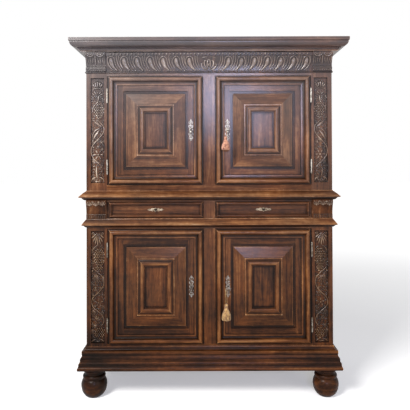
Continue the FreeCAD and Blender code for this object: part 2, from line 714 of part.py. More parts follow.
def make_drawer_runners():
    """Runners under the drawers' sides, with guides that keep the drawers straight."""
    inner_x0 = LEAF_X0 + DRAWER_SIDE_INSET
    outer_x1 = POST_X - LEAF_GAP - DRAWER_SIDE_INSET
    pieces = [
        block(
            -RUNNER_WIDTH - inner_x0, RUNNER_WIDTH + inner_x0, RAIL_Y, REAR_RAIL_Y,
            DUST_BOARD_TOP, RUNNER_TOP,
        ),
        block(
            GUIDE_GAP - inner_x0, inner_x0 - GUIDE_GAP, RAIL_Y, REAR_RAIL_Y,
            RUNNER_TOP, RUNNER_TOP + GUIDE_HEIGHT,
        ),
    ]
    side_runner = block(
        outer_x1 - RUNNER_WIDTH, SIDE_INNER_X, POST_Y, REAR_RAIL_Y,
        DUST_BOARD_TOP, RUNNER_TOP + GUIDE_HEIGHT,
    )
    front_runner = block(outer_x1 - RUNNER_WIDTH, POST_X, RAIL_Y, POST_Y, DUST_BOARD_TOP, RUNNER_TOP)
    channel = block(
        outer_x1 - RUNNER_WIDTH - OVERRUN, outer_x1 + GUIDE_GAP, POST_Y - OVERRUN, REAR_RAIL_Y + OVERRUN,
        RUNNER_TOP, RUNNER_TOP + GUIDE_HEIGHT + OVERRUN,
    )
    rear_post = block(
        REAR_POST_X, HALF, REAR_POST_Y, BACK_Y,
        DUST_BOARD_TOP - OVERRUN, RUNNER_TOP + GUIDE_HEIGHT + OVERRUN,
    )
    side_runner = side_runner.cut(channel).cut(rear_post)
    return pieces + both_sides([side_runner.fuse(front_runner).removeSplitter()])


# Doors, drawn on the right and mirrored for the left

def leaf_levels(opening_z, opening_height):
    """The leaf's two ends, and those of the relief on it."""
    z0 = opening_z + LEAF_GAP
    z1 = opening_z + opening_height - LEAF_GAP
    return z0, z1, z0 + LOCK_MARGIN, z1 - LOCK_MARGIN


def hinge_levels(opening_z, opening_height):
    """Middle heights of a door's two hinges."""
    return [opening_z + share * opening_height for share in HINGE_INSET_SHARES]


def keyhole(x, z, y0, y1, drop):
    """A round hole with a slot below it, as a cutter."""
    hole = along_y(KEYHOLE_RADIUS, x, y0, y1, z)
    half = KEYHOLE_SLOT_WIDTH / 2
    return hole.fuse(block(x - half, x + half, y0, y1, z - drop, z))


def wood_screw(x, y, z, case_thick):
    """A screw driven forwards through a lock case whose rear face is at y, and into the wood."""
    shank = along_y(SCREW_RADIUS, x, y - case_thick - SCREW_GRIP, y, z)
    head = along_y(SCREW_HEAD_RADIUS, x, y, y + SCREW_HEAD_HEIGHT, z)
    return shank.fuse(head)


def screw_hole(x, y, z, case_thick):
    end_y = y - case_thick - SCREW_GRIP - RUNNING_FIT
    return along_y(SCREW_RADIUS + RUNNING_FIT, x, end_y, y + RUNNING_FIT, z)


def nail(x, y, z):
    """An escutcheon nail whose head lies on a plate with its front face at y."""
    head = along_y(NAIL_HEAD_RADIUS, x, y - NAIL_HEAD_HEIGHT, y, z)
    return head.fuse(along_y(NAIL_RADIUS, x, y, y + NAIL_LENGTH, z))


def nail_hole(x, y, z):
    return along_y(NAIL_RADIUS + RUNNING_FIT, x, y - OVERRUN, y + NAIL_LENGTH + RUNNING_FIT, z)


def lock_screw_places(x0, x1, z0, z1):
    levels = (z0 + SCREW_INSET, z1 - SCREW_INSET)
    return [(x, z) for x in (x0 + SCREW_INSET, x1 - SCREW_INSET) for z in levels]


def door_lock_box(key_z):
    return LOCK_X0, LOCK_X0 + LOCK_WIDTH, key_z - LOCK_HEIGHT / 2, key_z + LOCK_HEIGHT / 2


def escutcheon_nails(key_z):
    reach = ESCUTCHEON_HEIGHT / 2 - NAIL_INSET
    return [(KEY_X, key_z - reach), (KEY_X, key_z + reach)]


def make_door_frame(opening_z, opening_height):
    """Stiles, rails and the mitred bolection moulding of one door."""
    z0, z1, relief_z0, relief_z1 = leaf_levels(opening_z, opening_height)
    key_z = door_key_z(opening_z, opening_height)
    frame_width = DOOR_MOULDING_WIDTH + BAND_WIDTH
    inner_x0 = RELIEF_X0 + frame_width
    inner_x1 = RELIEF_X1 - frame_width
    inner_z0 = relief_z0 + frame_width
    inner_z1 = relief_z1 - frame_width
    groove = panel_tongue(opening_z, opening_height, WIGGLE)
    escutcheon_y = FACE_Y - ESCUTCHEON_THICK
    lock_back_y = LEAF_BACK_Y + LOCK_THICK
    holes = [keyhole(KEY_X, key_z, FACE_Y - OVERRUN, LEAF_BACK_Y + OVERRUN, KEYHOLE_SLOT_DROP)]
    holes += [nail_hole(x, escutcheon_y, z) for x, z in escutcheon_nails(key_z)]
    places = lock_screw_places(*door_lock_box(key_z))
    holes += [screw_hole(x, lock_back_y, z, LOCK_THICK) for x, z in places]
    lock_stile = block(LEAF_X0, inner_x0, FACE_Y, LEAF_BACK_Y, z0, z1)
    hinge_stile = block(inner_x1, LEAF_X1, FACE_Y, LEAF_BACK_Y, z0, z1)
    bottom_rail = block(inner_x0, inner_x1, FACE_Y, LEAF_BACK_Y, z0, inner_z0)
    top_rail = block(inner_x0, inner_x1, FACE_Y, LEAF_BACK_Y, inner_z1, z1)
    timbers = [cut_all(lock_stile, holes + [groove])]
    timbers += [timber.cut(groove) for timber in (hinge_stile, bottom_rail, top_rail)]
    return timbers + mitred_frame(
        DOOR_MOULDING_SHARES, DOOR_MOULDING_WIDTH, DOOR_MOULDING_RISE,
        RELIEF_X0, RELIEF_X1, relief_z0, relief_z1, FACE_Y,
    )


def panel_bounds(opening_z, opening_height, inset):
    """The rectangle that lies a given way in from the relief's outer edge."""
    relief_z0, relief_z1 = leaf_levels(opening_z, opening_height)[2:]
    return RELIEF_X0 + inset, RELIEF_X1 - inset, relief_z0 + inset, relief_z1 - inset


def panel_tongue(opening_z, opening_height, clearance):
    """The panel's tongue all round, or the groove that takes it."""
    frame_width = DOOR_MOULDING_WIDTH + BAND_WIDTH
    x0, x1, z0, z1 = panel_bounds(opening_z, opening_height, frame_width - PANEL_TONGUE - clearance)
    front_y = FACE_Y + RECESS_SINK + (PANEL_THICK - PANEL_TONGUE_THICK) / 2
    return block(x0, x1, front_y - clearance, front_y + PANEL_TONGUE_THICK + clearance, z0, z1)


def make_door_panel(opening_z, opening_height):
    """A bevelled panel with a mitred ring moulding round its tablet."""
    frame_width = DOOR_MOULDING_WIDTH + BAND_WIDTH
    plate_y = FACE_Y + RECESS_SINK
    foot_y = plate_y - BEVEL_FOOT
    top_y = plate_y - BEVEL_RISE
    plate = panel_bounds(opening_z, opening_height, frame_width)
    outer = panel_bounds(opening_z, opening_height, frame_width + RECESS_WIDTH)
    inner = panel_bounds(opening_z, opening_height, frame_width + RECESS_WIDTH + BEVEL_WIDTH)
    panel = block(*plate[:2], plate_y, plate_y + PANEL_THICK, *plate[2:])
    panel = panel.fuse(panel_tongue(opening_z, opening_height, 0))
    panel = panel.fuse(block(*outer[:2], foot_y, plate_y, *outer[2:]))
    panel = panel.fuse(frustum(outer, inner, foot_y, top_y)).removeSplitter()
    return [panel] + mitred_frame(RING_SHARES, RING_WIDTH, RING_RISE, *inner, top_y)


def waisted_plate(x, z, width, height, y0, y1):
    """An upright or level plate that narrows beside its middle and comes to points at its ends."""
    outline = scaled_outline(ESCUTCHEON_SHARES, width / 2, height / 2)
    points = [tuple(value + (x, z)[place % 2] for place, value in enumerate(point)) for point in outline]
    return front_prism(points, y0, y1)


def make_door_escutcheon(opening_z, opening_height):
    key_z = door_key_z(opening_z, opening_height)
    front_y = FACE_Y - ESCUTCHEON_THICK
    plate = waisted_plate(KEY_X, key_z, ESCUTCHEON_WIDTH, ESCUTCHEON_HEIGHT, front_y, FACE_Y)
    plate = plate.cut(keyhole(KEY_X, key_z, front_y - OVERRUN, FACE_Y + OVERRUN, KEYHOLE_SLOT_DROP))
    plate = cut_all(plate, [nail_hole(x, front_y, z) for x, z in escutcheon_nails(key_z)])
    return [plate] + [nail(x, front_y, z) for x, z in escutcheon_nails(key_z)]


def make_door_lock(opening_z, opening_height):
    """A rim lock's case with its bolt channel, the room where the bit turns, and four screws."""
    key_z = door_key_z(opening_z, opening_height)
    x0, x1, z0, z1 = door_lock_box(key_z)
    back_y = LEAF_BACK_Y + LOCK_THICK
    bolt_y1 = BOLT_Y0 + BOLT_THICK
    bolt_z0 = key_z + BOLT_LIFT
    channel = block(
        x0 - OVERRUN, x0 + BOLT_LENGTH + SEAT, BOLT_Y0 - SEAT, bolt_y1 + SEAT,
        bolt_z0 - SEAT, bolt_z0 + BOLT_HEIGHT + SEAT,
    )
    chamber = along_y(KEY_BIT_REACH + SEAT + SEAT, KEY_X, BOLT_Y0 - SEAT, bolt_y1 + SEAT, key_z)
    slot = keyhole(KEY_X, key_z, LEAF_BACK_Y - OVERRUN, BOLT_Y0, KEYHOLE_SLOT_DROP)
    pivot = along_y(KEY_STEM_RADIUS + WIGGLE, KEY_X, bolt_y1, back_y + OVERRUN, key_z)
    places = lock_screw_places(x0, x1, z0, z1)
    holes = [screw_hole(x, back_y, z, LOCK_THICK) for x, z in places]
    case = cut_all(block(x0, x1, LEAF_BACK_Y, back_y, z0, z1), [channel, chamber, slot, pivot] + holes)
    return [case] + [wood_screw(x, back_y, z, LOCK_THICK) for x, z in places]


def make_door_bolt(opening_z, opening_height):
    """A sliding bolt with the notch that the key's bit works in."""
    key_z = door_key_z(opening_z, opening_height)
    z0 = key_z + BOLT_LIFT
    bolt = block(LOCK_X0, LOCK_X0 + BOLT_LENGTH, BOLT_Y0, BOLT_Y0 + BOLT_THICK, z0, z0 + BOLT_HEIGHT)
    notch_x = KEY_X + BOLT_NOTCH_START
    notch = block(
        notch_x, notch_x + BOLT_NOTCH_WIDTH, BOLT_Y0 - OVERRUN, BOLT_Y0 + BOLT_THICK + OVERRUN,
        z0 - OVERRUN, z0 + BOLT_NOTCH_DEPTH,
    )
    return [bolt.cut(notch)]


def knuckle(z0, z1, tip):
    """A hinge knuckle with its leaf's root, closed by a small tapered tip at its outer end."""
    barrel = upright(HINGE_BARREL_RADIUS, HINGE_X, HINGE_Y, z0, z1)
    if tip > 0:
        place, direction = vector(HINGE_X, HINGE_Y, z1), vector(0, 0, 1)
    else:
        place, direction = vector(HINGE_X, HINGE_Y, z0), vector(0, 0, -1)
    cap = Part.makeCone(HINGE_BARREL_RADIUS, HINGE_TIP_RADIUS, HINGE_TIP_LENGTH, place, direction)
    return barrel.fuse(cap)


def make_fixed_hinge_leaves():
    """The lower knuckles with their pins, on leaves let in between post and door."""
    pieces = []
    for opening in ((LOWER_OPENING_Z, LOWER_OPENING_HEIGHT), (UPPER_OPENING_Z, UPPER_OPENING_HEIGHT)):
        for middle in hinge_levels(*opening):
            top = middle - SEAT / 2
            bottom = top - HINGE_KNUCKLE_LENGTH
            leaf = block(
                POST_X - HINGE_LEAF_THICK, POST_X, HINGE_Y, FACE_Y + HINGE_LEAF_DEPTH, bottom, top,
            )
            pin = upright(
                HINGE_PIN_RADIUS, HINGE_X, HINGE_Y, bottom, middle + HINGE_KNUCKLE_LENGTH - SEAT,
            )
            pieces.append(knuckle(bottom, top, -1).fuse(leaf).fuse(pin).removeSplitter())
    return both_sides(pieces)


def make_door_hinge_leaves(opening_z, opening_height):
    """The upper knuckles, bored for the pins."""
    pieces = []
    for middle in hinge_levels(opening_z, opening_height):
        bottom = middle + SEAT / 2
        top = middle + HINGE_KNUCKLE_LENGTH
        leaf = block(
            LEAF_X1, LEAF_X1 + HINGE_LEAF_THICK, HINGE_Y, FACE_Y + HINGE_LEAF_DEPTH, bottom, top,
        )
        bore = upright(
            HINGE_PIN_RADIUS + RUNNING_FIT, HINGE_X, HINGE_Y,
            bottom - OVERRUN, middle + HINGE_KNUCKLE_LENGTH,
        )
        pieces.append(knuckle(bottom, top, 1).fuse(leaf).cut(bore))
    return pieces


def make_key(opening_z, opening_height):
    """A key with a ring bow that lies level, its bit pointing away from the bolt's tip."""
    key_z = door_key_z(opening_z, opening_height)
    bow_y = FACE_Y - KEY_BOW_OUT
    stem_y0 = bow_y + KEY_BOW_RADIUS
    back_y = LEAF_BACK_Y + LOCK_THICK
    stem = along_y(KEY_STEM_RADIUS, KEY_X, stem_y0, back_y, key_z)
    collar_y = FACE_Y - ESCUTCHEON_THICK - KEY_COLLAR_STAND
    collar = along_y(KEY_COLLAR_RADIUS, KEY_X, collar_y - KEY_COLLAR_WIDTH, collar_y, key_z)
    bit_y0 = BOLT_Y0 + (BOLT_THICK - KEY_BIT_WIDTH) / 2
    half_bit = KEY_BIT_THICK / 2
    bit = block(
        KEY_X, KEY_X + KEY_BIT_REACH, bit_y0, bit_y0 + KEY_BIT_WIDTH, key_z - half_bit, key_z + half_bit,
    )
    bow = Part.makeTorus(KEY_BOW_RADIUS, KEY_WIRE_RADIUS, vector(KEY_X, bow_y, key_z), vector(0, 0, 1))
    return [stem.fuse([collar, bit, bow]).removeSplitter()]


def make_tassel(opening_z, opening_height, shares, loop_length, tassel_length):
    """A cord loop round the bow's wire, with the tassel's head and skirt below it."""
    x = KEY_X - KEY_BOW_RADIUS
    y = FACE_Y - KEY_BOW_OUT
    z = door_key_z(opening_z, opening_height)
    bottom_z = z - loop_length - tassel_length
    body = lathe(scaled_outline(shares, TASSEL_RADIUS, tassel_length), x, y, bottom_z)
    leg_end = z - loop_length - LOOP_GRIP_SHARE * tassel_length
    half = LOOP_HALF_WIDTH
    path = Part.Wire([
        Part.LineSegment(vector(x - half, y, leg_end), vector(x - half, y, z)).toShape(),
        Part.Arc(vector(x - half, y, z), vector(x, y, z + half), vector(x + half, y, z)).toShape(),
        Part.LineSegment(vector(x + half, y, z), vector(x + half, y, leg_end)).toShape(),
    ])
    section = Part.Circle(vector(x - half, y, leg_end), vector(0, 0, 1), LOOP_CORD_RADIUS)
    loop = path.makePipeShell([Part.Wire(section.toShape())], True, False)
    return [body.fuse(loop).removeSplitter()]


# Drawers, drawn on the right and mirrored for the left

def drawer_key_x():
    return (LEAF_X0 + POST_X - LEAF_GAP) / 2


def drawer_key_z():
    return DRAWER_OPENING_Z + DRAWER_OPENING_HEIGHT / 2


def drawer_field_y():
    """The sunk field's face on a drawer front."""
    return FACE_Y + DRAWER_SINK


def drawer_lock_box():
    half = DRAWER_LOCK_WIDTH / 2
    top = DRAWER_OPENING_TOP - LEAF_GAP - DRAWER_LOCK_DROP
    bottom = DRAWER_OPENING_Z + LEAF_GAP + DRAWER_BOTTOM_LIFT + DRAWER_BOTTOM_THICK + WIGGLE
    return drawer_key_x() - half, drawer_key_x() + half, bottom, top


def drawer_escutcheon_nails():
    reach = DRAWER_ESCUTCHEON_WIDTH / 2 - NAIL_INSET
    return [(drawer_key_x() - reach, drawer_key_z()), (drawer_key_x() + reach, drawer_key_z())]


def make_drawer_front():
    """The front board with its mitred moulding round a sunk field."""
    x0 = LEAF_X0
    x1 = POST_X - LEAF_GAP
    z0 = DRAWER_OPENING_Z + LEAF_GAP
    z1 = DRAWER_OPENING_TOP - LEAF_GAP
    field_y = drawer_field_y()
    back_y = field_y + DRAWER_FRONT_THICK
    plate_y = field_y - ESCUTCHEON_THICK
    holes = [keyhole(
        drawer_key_x(), drawer_key_z(), field_y - OVERRUN, back_y + OVERRUN, KEYHOLE_SLOT_DROP,
    )]
    holes += [nail_hole(x, plate_y, z) for x, z in drawer_escutcheon_nails()]
    lock_back_y = back_y + DRAWER_LOCK_THICK
    places = lock_screw_places(*drawer_lock_box())
    holes += [screw_hole(x, lock_back_y, z, DRAWER_LOCK_THICK) for x, z in places]
    board = cut_all(block(x0, x1, field_y, back_y, z0, z1), holes)
    edge = DRAWER_EDGE / 2
    return [board] + mitred_frame(
        DRAWER_MOULDING_SHARES, DRAWER_MOULDING_WIDTH, DRAWER_MOULDING_RISE,
        x0 + DRAWER_EDGE, x1 - DRAWER_EDGE - DRAWER_EDGE, z0 + edge, z1 - edge, field_y,
    )


def make_drawer_box():
    """Two sides, a back and a bottom that lies in grooves of the sides."""
    x0 = LEAF_X0 + DRAWER_SIDE_INSET
    x1 = POST_X - LEAF_GAP - DRAWER_SIDE_INSET
    y0 = drawer_field_y() + DRAWER_FRONT_THICK
    y1 = REAR_RAIL_Y - DRAWER_REAR_GAP
    z0 = DRAWER_OPENING_Z + LEAF_GAP
    z1 = DRAWER_OPENING_TOP - DRAWER_SIDE_DROP
    bottom_z = z0 + DRAWER_BOTTOM_LIFT
    bottom_top = bottom_z + DRAWER_BOTTOM_THICK
    inner_x0 = x0 + DRAWER_SIDE_THICK
    inner_x1 = x1 - DRAWER_SIDE_THICK
    bottom = block(inner_x0 - DRAWER_GROOVE, inner_x1 + DRAWER_GROOVE, y0, y1, bottom_z, bottom_top)
    groove = block(
        inner_x0 - DRAWER_GROOVE - WIGGLE, inner_x1 + DRAWER_GROOVE + WIGGLE, y0 - OVERRUN, y1 + OVERRUN,
        bottom_z - WIGGLE, bottom_top + WIGGLE,
    )
    left = block(x0, inner_x0, y0, y1, z0, z1).cut(groove)
    right = block(inner_x1, x1, y0, y1, z0, z1).cut(groove)
    back = block(inner_x0, inner_x1, y1 - DRAWER_BACK_THICK, y1, bottom_top, z1)
    return [left, right, back, bottom]


def make_drawer_escutcheon():
    front_y = drawer_field_y() - ESCUTCHEON_THICK
    plate = waisted_plate(
        0, 0, DRAWER_ESCUTCHEON_HEIGHT, DRAWER_ESCUTCHEON_WIDTH, front_y, drawer_field_y(),
    )
    plate.rotate(vector(0, 0, 0), vector(0, 1, 0), 90)
    plate.translate(vector(drawer_key_x(), 0, drawer_key_z()))
    plate = plate.cut(keyhole(
        drawer_key_x(), drawer_key_z(), front_y - OVERRUN, drawer_field_y() + OVERRUN, KEYHOLE_RADIUS,
    ))
    places = drawer_escutcheon_nails()
    plate = cut_all(plate, [nail_hole(x, front_y, z) for x, z in places])
    return [plate] + [nail(x, front_y, z) for x, z in places]


def drawer_bolt_bounds():
    """The drawn-back bolt of a drawer lock, flush with the top of its case."""
    half = DRAWER_BOLT_WIDTH / 2
    y0 = drawer_field_y() + DRAWER_FRONT_THICK + (DRAWER_LOCK_THICK - DRAWER_BOLT_THICK) / 2
    y1 = y0 + DRAWER_BOLT_THICK
    top = drawer_lock_box()[3]
    return drawer_key_x() - half, drawer_key_x() + half, y0, y1, top - DRAWER_BOLT_LENGTH, top


def make_drawer_lock():
    x0, x1, z0, z1 = drawer_lock_box()
    y0 = drawer_field_y() + DRAWER_FRONT_THICK
    y1 = y0 + DRAWER_LOCK_THICK
    bolt_x0, bolt_x1, bolt_y0, bolt_y1, bolt_z0, bolt_z1 = drawer_bolt_bounds()
    channel = block(
        bolt_x0 - SEAT, bolt_x1 + SEAT, bolt_y0 - SEAT, bolt_y1 + SEAT, bolt_z0 - SEAT, bolt_z1 + OVERRUN,
    )
    slot = keyhole(drawer_key_x(), drawer_key_z(), y0 - OVERRUN, bolt_y0 - SEAT, KEYHOLE_SLOT_DROP)
    places = lock_screw_places(x0, x1, z0, z1)
    holes = [screw_hole(x, y1, z, DRAWER_LOCK_THICK) for x, z in places]
    case = cut_all(block(x0, x1, y0, y1, z0, z1), [channel, slot] + holes)
    return [case] + [wood_screw(x, y1, z, DRAWER_LOCK_THICK) for x, z in places]


def make_drawer_bolt():
    return [block(*drawer_bolt_bounds())]


# Every node with its solids

def door_nodes(stage, opening_z, opening_height):
    """The nodes of a stage's two doors."""
    makers = {
        "door_frame": make_door_frame,
        "door_panel": make_door_panel,
        "door_escutcheon": make_door_escutcheon,
        "door_lock": make_door_lock,
        "door_bolt": make_door_bolt,
        "door_hinge_leaves": make_door_hinge_leaves,
    }
    nodes = {}
    for name, maker in makers.items():
        pieces = maker(opening_z, opening_height)
        nodes[stage + "_right_" + name] = pieces
        nodes[stage + "_left_" + name] = [mirrored(piece) for piece in pieces]
    return nodes


def drawer_nodes():
    makers = {
        "drawer_front": make_drawer_front,
        "drawer_box": make_drawer_box,
        "drawer_escutcheon": make_drawer_escutcheon,
        "drawer_lock": make_drawer_lock,
        "drawer_bolt": make_drawer_bolt,
    }
    nodes = {}
    for name, maker in makers.items():
        pieces = maker()
        nodes["right_" + name] = pieces
        nodes["left_" + name] = [mirrored(piece) for piece in pieces]
    return nodes


def all_nodes():
    lower = (LOWER_OPENING_Z, LOWER_OPENING_HEIGHT)
    upper = (UPPER_OPENING_Z, UPPER_OPENING_HEIGHT)
    nodes = {
        "front_feet": make_front_feet(),
        "rear_feet": make_rear_feet(),
        "plinth_moulding": make_plinth_moulding(),
        "lower_posts": make_lower_posts(),
        "lower_sides": both_sides(make_side(LOWER_SIDE_RAILS, LOWER_SIDE_PANELS)),
        "lower_front_frame": make_lower_front_frame(),
        "lower_boards": make_lower_boards(),
        "lower_back_boards": make_back_boards(FOOT_HEIGHT, TABLE_TOP_Z),
        "waist_moulding": make_waist_moulding(),
        "drawer_corner_blocks": make_drawer_corner_blocks(),
        "drawer_runners": make_drawer_runners(),
        "table_top": make_table_top(),
        "upper_posts": make_upper_posts(),
        "upper_sides": both_sides(make_side(UPPER_SIDE_RAILS, UPPER_SIDE_PANELS)),
        "upper_front_frame": make_upper_front_frame(),
        "upper_boards": make_upper_boards(),
        "upper_back_boards": make_back_boards(UPPER_Z, UPPER_POST_TOP),
        "frieze": make_frieze(),
        "frieze_corner_blocks": make_frieze_corner_blocks(),
        "cornice": make_cornice(),
        "fixed_hinge_leaves": make_fixed_hinge_leaves(),
        "strike_plates": make_strike_plates(),
        "lower_key": make_key(*lower),
        "upper_key": make_key(*upper),
        "lower_tassel": make_tassel(*lower, LOWER_TASSEL_SHARES, LOWER_LOOP_LENGTH, LOWER_TASSEL_LENGTH),
        "upper_tassel": make_tassel(*upper, UPPER_TASSEL_SHARES, UPPER_LOOP_LENGTH, UPPER_TASSEL_LENGTH),
    }
    nodes.update(door_nodes("lower", *lower))
    nodes.update(door_nodes("upper", *upper))
    nodes.update(drawer_nodes())
    return nodes


os.makedirs("parts", exist_ok=True)
for node_name, solids in all_nodes().items():
    Part.makeCompound(solids).exportStep("parts/" + node_name + ".step")
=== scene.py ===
import math
from random import Random

import bpy
from mathutils import Matrix, Vector
from mathutils.bvhtree import BVHTree


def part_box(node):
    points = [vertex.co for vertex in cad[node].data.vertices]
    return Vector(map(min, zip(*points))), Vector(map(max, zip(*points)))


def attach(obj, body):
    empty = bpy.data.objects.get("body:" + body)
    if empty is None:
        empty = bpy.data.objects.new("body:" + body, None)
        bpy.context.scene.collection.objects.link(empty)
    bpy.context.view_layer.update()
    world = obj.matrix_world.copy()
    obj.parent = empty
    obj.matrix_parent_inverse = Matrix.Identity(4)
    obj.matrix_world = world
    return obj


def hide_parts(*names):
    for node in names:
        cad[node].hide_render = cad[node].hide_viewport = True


# Two-stage carved walnut cupboard: finishes, carving, hardware and tassels around the fixed frame.
# Lengths are in metres, and the carving's points in millimetres. The front looks along minus Y. Z is up.

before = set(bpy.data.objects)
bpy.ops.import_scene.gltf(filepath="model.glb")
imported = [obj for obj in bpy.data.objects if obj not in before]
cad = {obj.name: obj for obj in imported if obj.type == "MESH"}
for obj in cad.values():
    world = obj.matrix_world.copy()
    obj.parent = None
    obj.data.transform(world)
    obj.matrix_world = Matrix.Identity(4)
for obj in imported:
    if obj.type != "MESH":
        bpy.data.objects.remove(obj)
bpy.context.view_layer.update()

MM = 0.001
WHITE = (1, 1, 1, 1)
STAGES = ("upper", "lower")
SIDES = {"left": -1, "right": 1}


# Places taken from the frame

def middle_of(node):
    """The middle of a node's box, across and up."""
    low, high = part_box(node)
    return (low.x + high.x) / 2, (low.z + high.z) / 2


FACE_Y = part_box("upper_posts")[0].y
KEY_Z = {stage: middle_of(stage + "_right_door_escutcheon")[1] for stage in STAGES}
DOOR = {stage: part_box(stage + "_right_door_frame") for stage in STAGES}
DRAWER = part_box("right_drawer_front")
DOOR_BACK_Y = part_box("upper_left_door_panel")[1].y - 0.0015
# The joint beside a door or drawer, and how far inside a door's edges and its hinge side its moulding starts
JOINT = 0.002
MOULDING_IN = 0.004
HINGE_SIDE_IN = 0.008
# The sunk field of a pilaster
FIELD_MIDDLE = 0.6275
FIELD_HALF = 0.0395
FIELD_DEPTH = 0.008


# Finishes

def tint(red, green, blue):
    """A colour read off as 0 to 255, turned to the linear values that a shader takes."""
    linear = []
    for value in (red, green, blue):
        share = value / 255
        linear.append(share / 12.92 if share <= 0.04045 else ((share + 0.055) / 1.055) ** 2.4)
    return (*linear, 1)


class Nodes:
    """Adds nodes to a tree in plain steps."""

    def __init__(self, tree):
        self.tree = tree

    def add(self, kind, given=None, **settings):
        node = self.tree.nodes.new(kind)
        for name, value in settings.items():
            setattr(node, name, value)
        for socket, value in (given or {}).items():
            self.feed(node.inputs[socket], value)
        return node

    def feed(self, socket, value):
        if isinstance(value, bpy.types.NodeSocket):
            self.tree.links.new(value, socket)
        else:
            socket.default_value = value

    def math(self, operation, first, second=0.0, clamp=False):
        node = self.add("ShaderNodeMath", {0: first, 1: second}, operation=operation, use_clamp=clamp)
        return node.outputs[0]


class Finish(Nodes):
    """A material. Its x, y and z are a point's place."""

    def __init__(self, name):
        self.material = bpy.data.materials.new(name)
        self.material.use_nodes = True
        super().__init__(self.material.node_tree)
        self.shader = self.tree.nodes["Principled BSDF"]
        self.place = self.add("ShaderNodeTexCoord").outputs["Object"]
        self.x, self.y, self.z = self.add("ShaderNodeSeparateXYZ", {0: self.place}).outputs

    def give(self, **values):
        """Values for the shader's own sockets: Base_Color stands for Base Color."""
        for name, value in values.items():
            self.feed(self.shader.inputs[name.replace("_", " ")], value)

    def both(self, first, second, clamp=False):
        return self.math("MULTIPLY", first, second, clamp)

    def plus(self, first, second, clamp=False):
        return self.math("ADD", first, second, clamp)

    def minus(self, first, second, clamp=False):
        return self.math("SUBTRACT", first, second, clamp)

    def above(self, value, limit):
        return self.math("GREATER_THAN", value, limit)

    def below(self, value, limit):
        return self.math("LESS_THAN", value, limit)

    def least(self, first, second):
        return self.math("MINIMUM", first, second)

    def vary(self, amount, value, strength):
        """An amount moved up and down by a value that swings round a half."""
        return self.plus(amount, self.both(self.minus(value, 0.5), strength))

    def scaled(self, scale):
        """The place, drawn out or drawn together along the axes."""
        node = self.add("ShaderNodeVectorMath", {0: self.place, 1: scale}, operation="MULTIPLY")
        return node.outputs[0]

    def span(self, value, low, high, to_low=0.0, to_high=1.0):
        """A value between low and high, moved to the range from to_low to to_high."""
        given = dict(enumerate((value, low, high, to_low, to_high)))
        return self.add("ShaderNodeMapRange", given).outputs[0]

    def noise(self, vector, scale, detail=2.0, rough=0.5, warp=0.0):
        given = {"Vector": vector, "Scale": scale, "Detail": detail, "Roughness": rough, "Distortion": warp}
        return self.add("ShaderNodeTexNoise", given).outputs["Fac"]

    def mix(self, share, first, second, blend="MIX"):
        """Two colours, mixed."""
        given = {0: share, 6: first, 7: second}
        return self.add("ShaderNodeMix", given, data_type="RGBA", blend_type=blend).outputs[2]

    def choose(self, share, first, second):
        """One vector or the other."""
        return self.add("ShaderNodeMix", {0: share, 4: first, 5: second}, data_type="VECTOR").outputs[1]

    def ramp(self, value, stops):
        """Colours or plain amounts at places from 0 to 1."""
        node = self.add("ShaderNodeValToRGB", {0: value})
        ramp = node.color_ramp
        while len(ramp.elements) < len(stops):
            ramp.elements.new(1.0)
        for element, (position, colour) in zip(ramp.elements, stops):
            element.position = position
            element.color = colour if isinstance(colour, tuple) else (colour, colour, colour, 1)
        return node.outputs[0]

    def closed(self, distance, inside=False):
        """High in hollows, or on sharp edges where it looks inside the wood."""
        node = self.add(
            "ShaderNodeAmbientOcclusion", {"Distance": distance}, samples=6, inside=inside, only_local=True)
        return self.minus(1.0, node.outputs["AO"], clamp=True)

    def relief(self, height, strength, depth, under=None):
        given = {"Strength": strength, "Distance": depth, "Height": height}
        if under is not None:
            given["Normal"] = under
        return self.add("ShaderNodeBump", given).outputs[0]


# Walnut

GRAIN = {"x": (0.07, 1.0, 1.0), "z": (1.0, 1.0, 0.07)}
WOOD_TONES = [
    (0.0, tint(12, 6, 3)), (0.25, tint(38, 20, 10)), (0.5, tint(78, 47, 27)),
    (0.75, tint(122, 88, 60)), (1.0, tint(174, 148, 124)),
]
# Carved wood runs to a pale grey at its lightest, which is a painted highlight.
CARVED_TONES = [
    (0.0, tint(12, 7, 4)), (0.25, tint(34, 21, 13)), (0.5, tint(76, 55, 40)),
    (0.75, tint(118, 100, 86)), (1.0, tint(188, 178, 166)),
]
WARM_PATCH = (1.14, 0.96, 0.76, 1)
LOW_TINT = (1.04, 0.99, 0.77, 1)
# The grey of dust in the wax and of a painted sheen of reflected light.
DUST_AND_SHEEN_CAST = (1.06, 1.0, 0.98, 1)
DUST_AND_SHEEN_GREY = tint(130, 126, 128)

# How the finish and its painted light and shade change upwards or across: two places, and the amount at each.
# Every wood has its own grey of dust and painted sheen.
# Painted shade: the wood is painted darker towards the floor and lighter towards the top, as the light falls
# off.
PAINTED_SHADE_UP = (0.15, 1.9, -0.115, 0.05)
# Painted shade at the bottom left, round the left foot.
LEFT_FOOT_SHADE_ACROSS = (-0.75, -0.2, 1.0, 0.0)
LEFT_FOOT_SHADE_UP = (0.05, 0.6, 0.2, 0.0)
# Painted shade on the carving: darker in the lower stage and towards the right, away from the light.
CARVING_SHADE_UP = (0.4, 1.3, 0.37, 0.3)
CARVING_SHADE_ACROSS = (0.0, 0.6, 0.0, 0.09)
LOW_TINT_UP = (0.6, 1.3, 1.0, 0.0)
# Grey dust with a painted sheen, high up and towards the lit left side.
DUST_AND_SHEEN_UP = (1.25, 2.0)
DUST_AND_SHEEN_ACROSS = (-0.7, 0.7, 1.0, 0.48)
SHINE_UP = (0.3, 1.7, 0.14, 1.0)

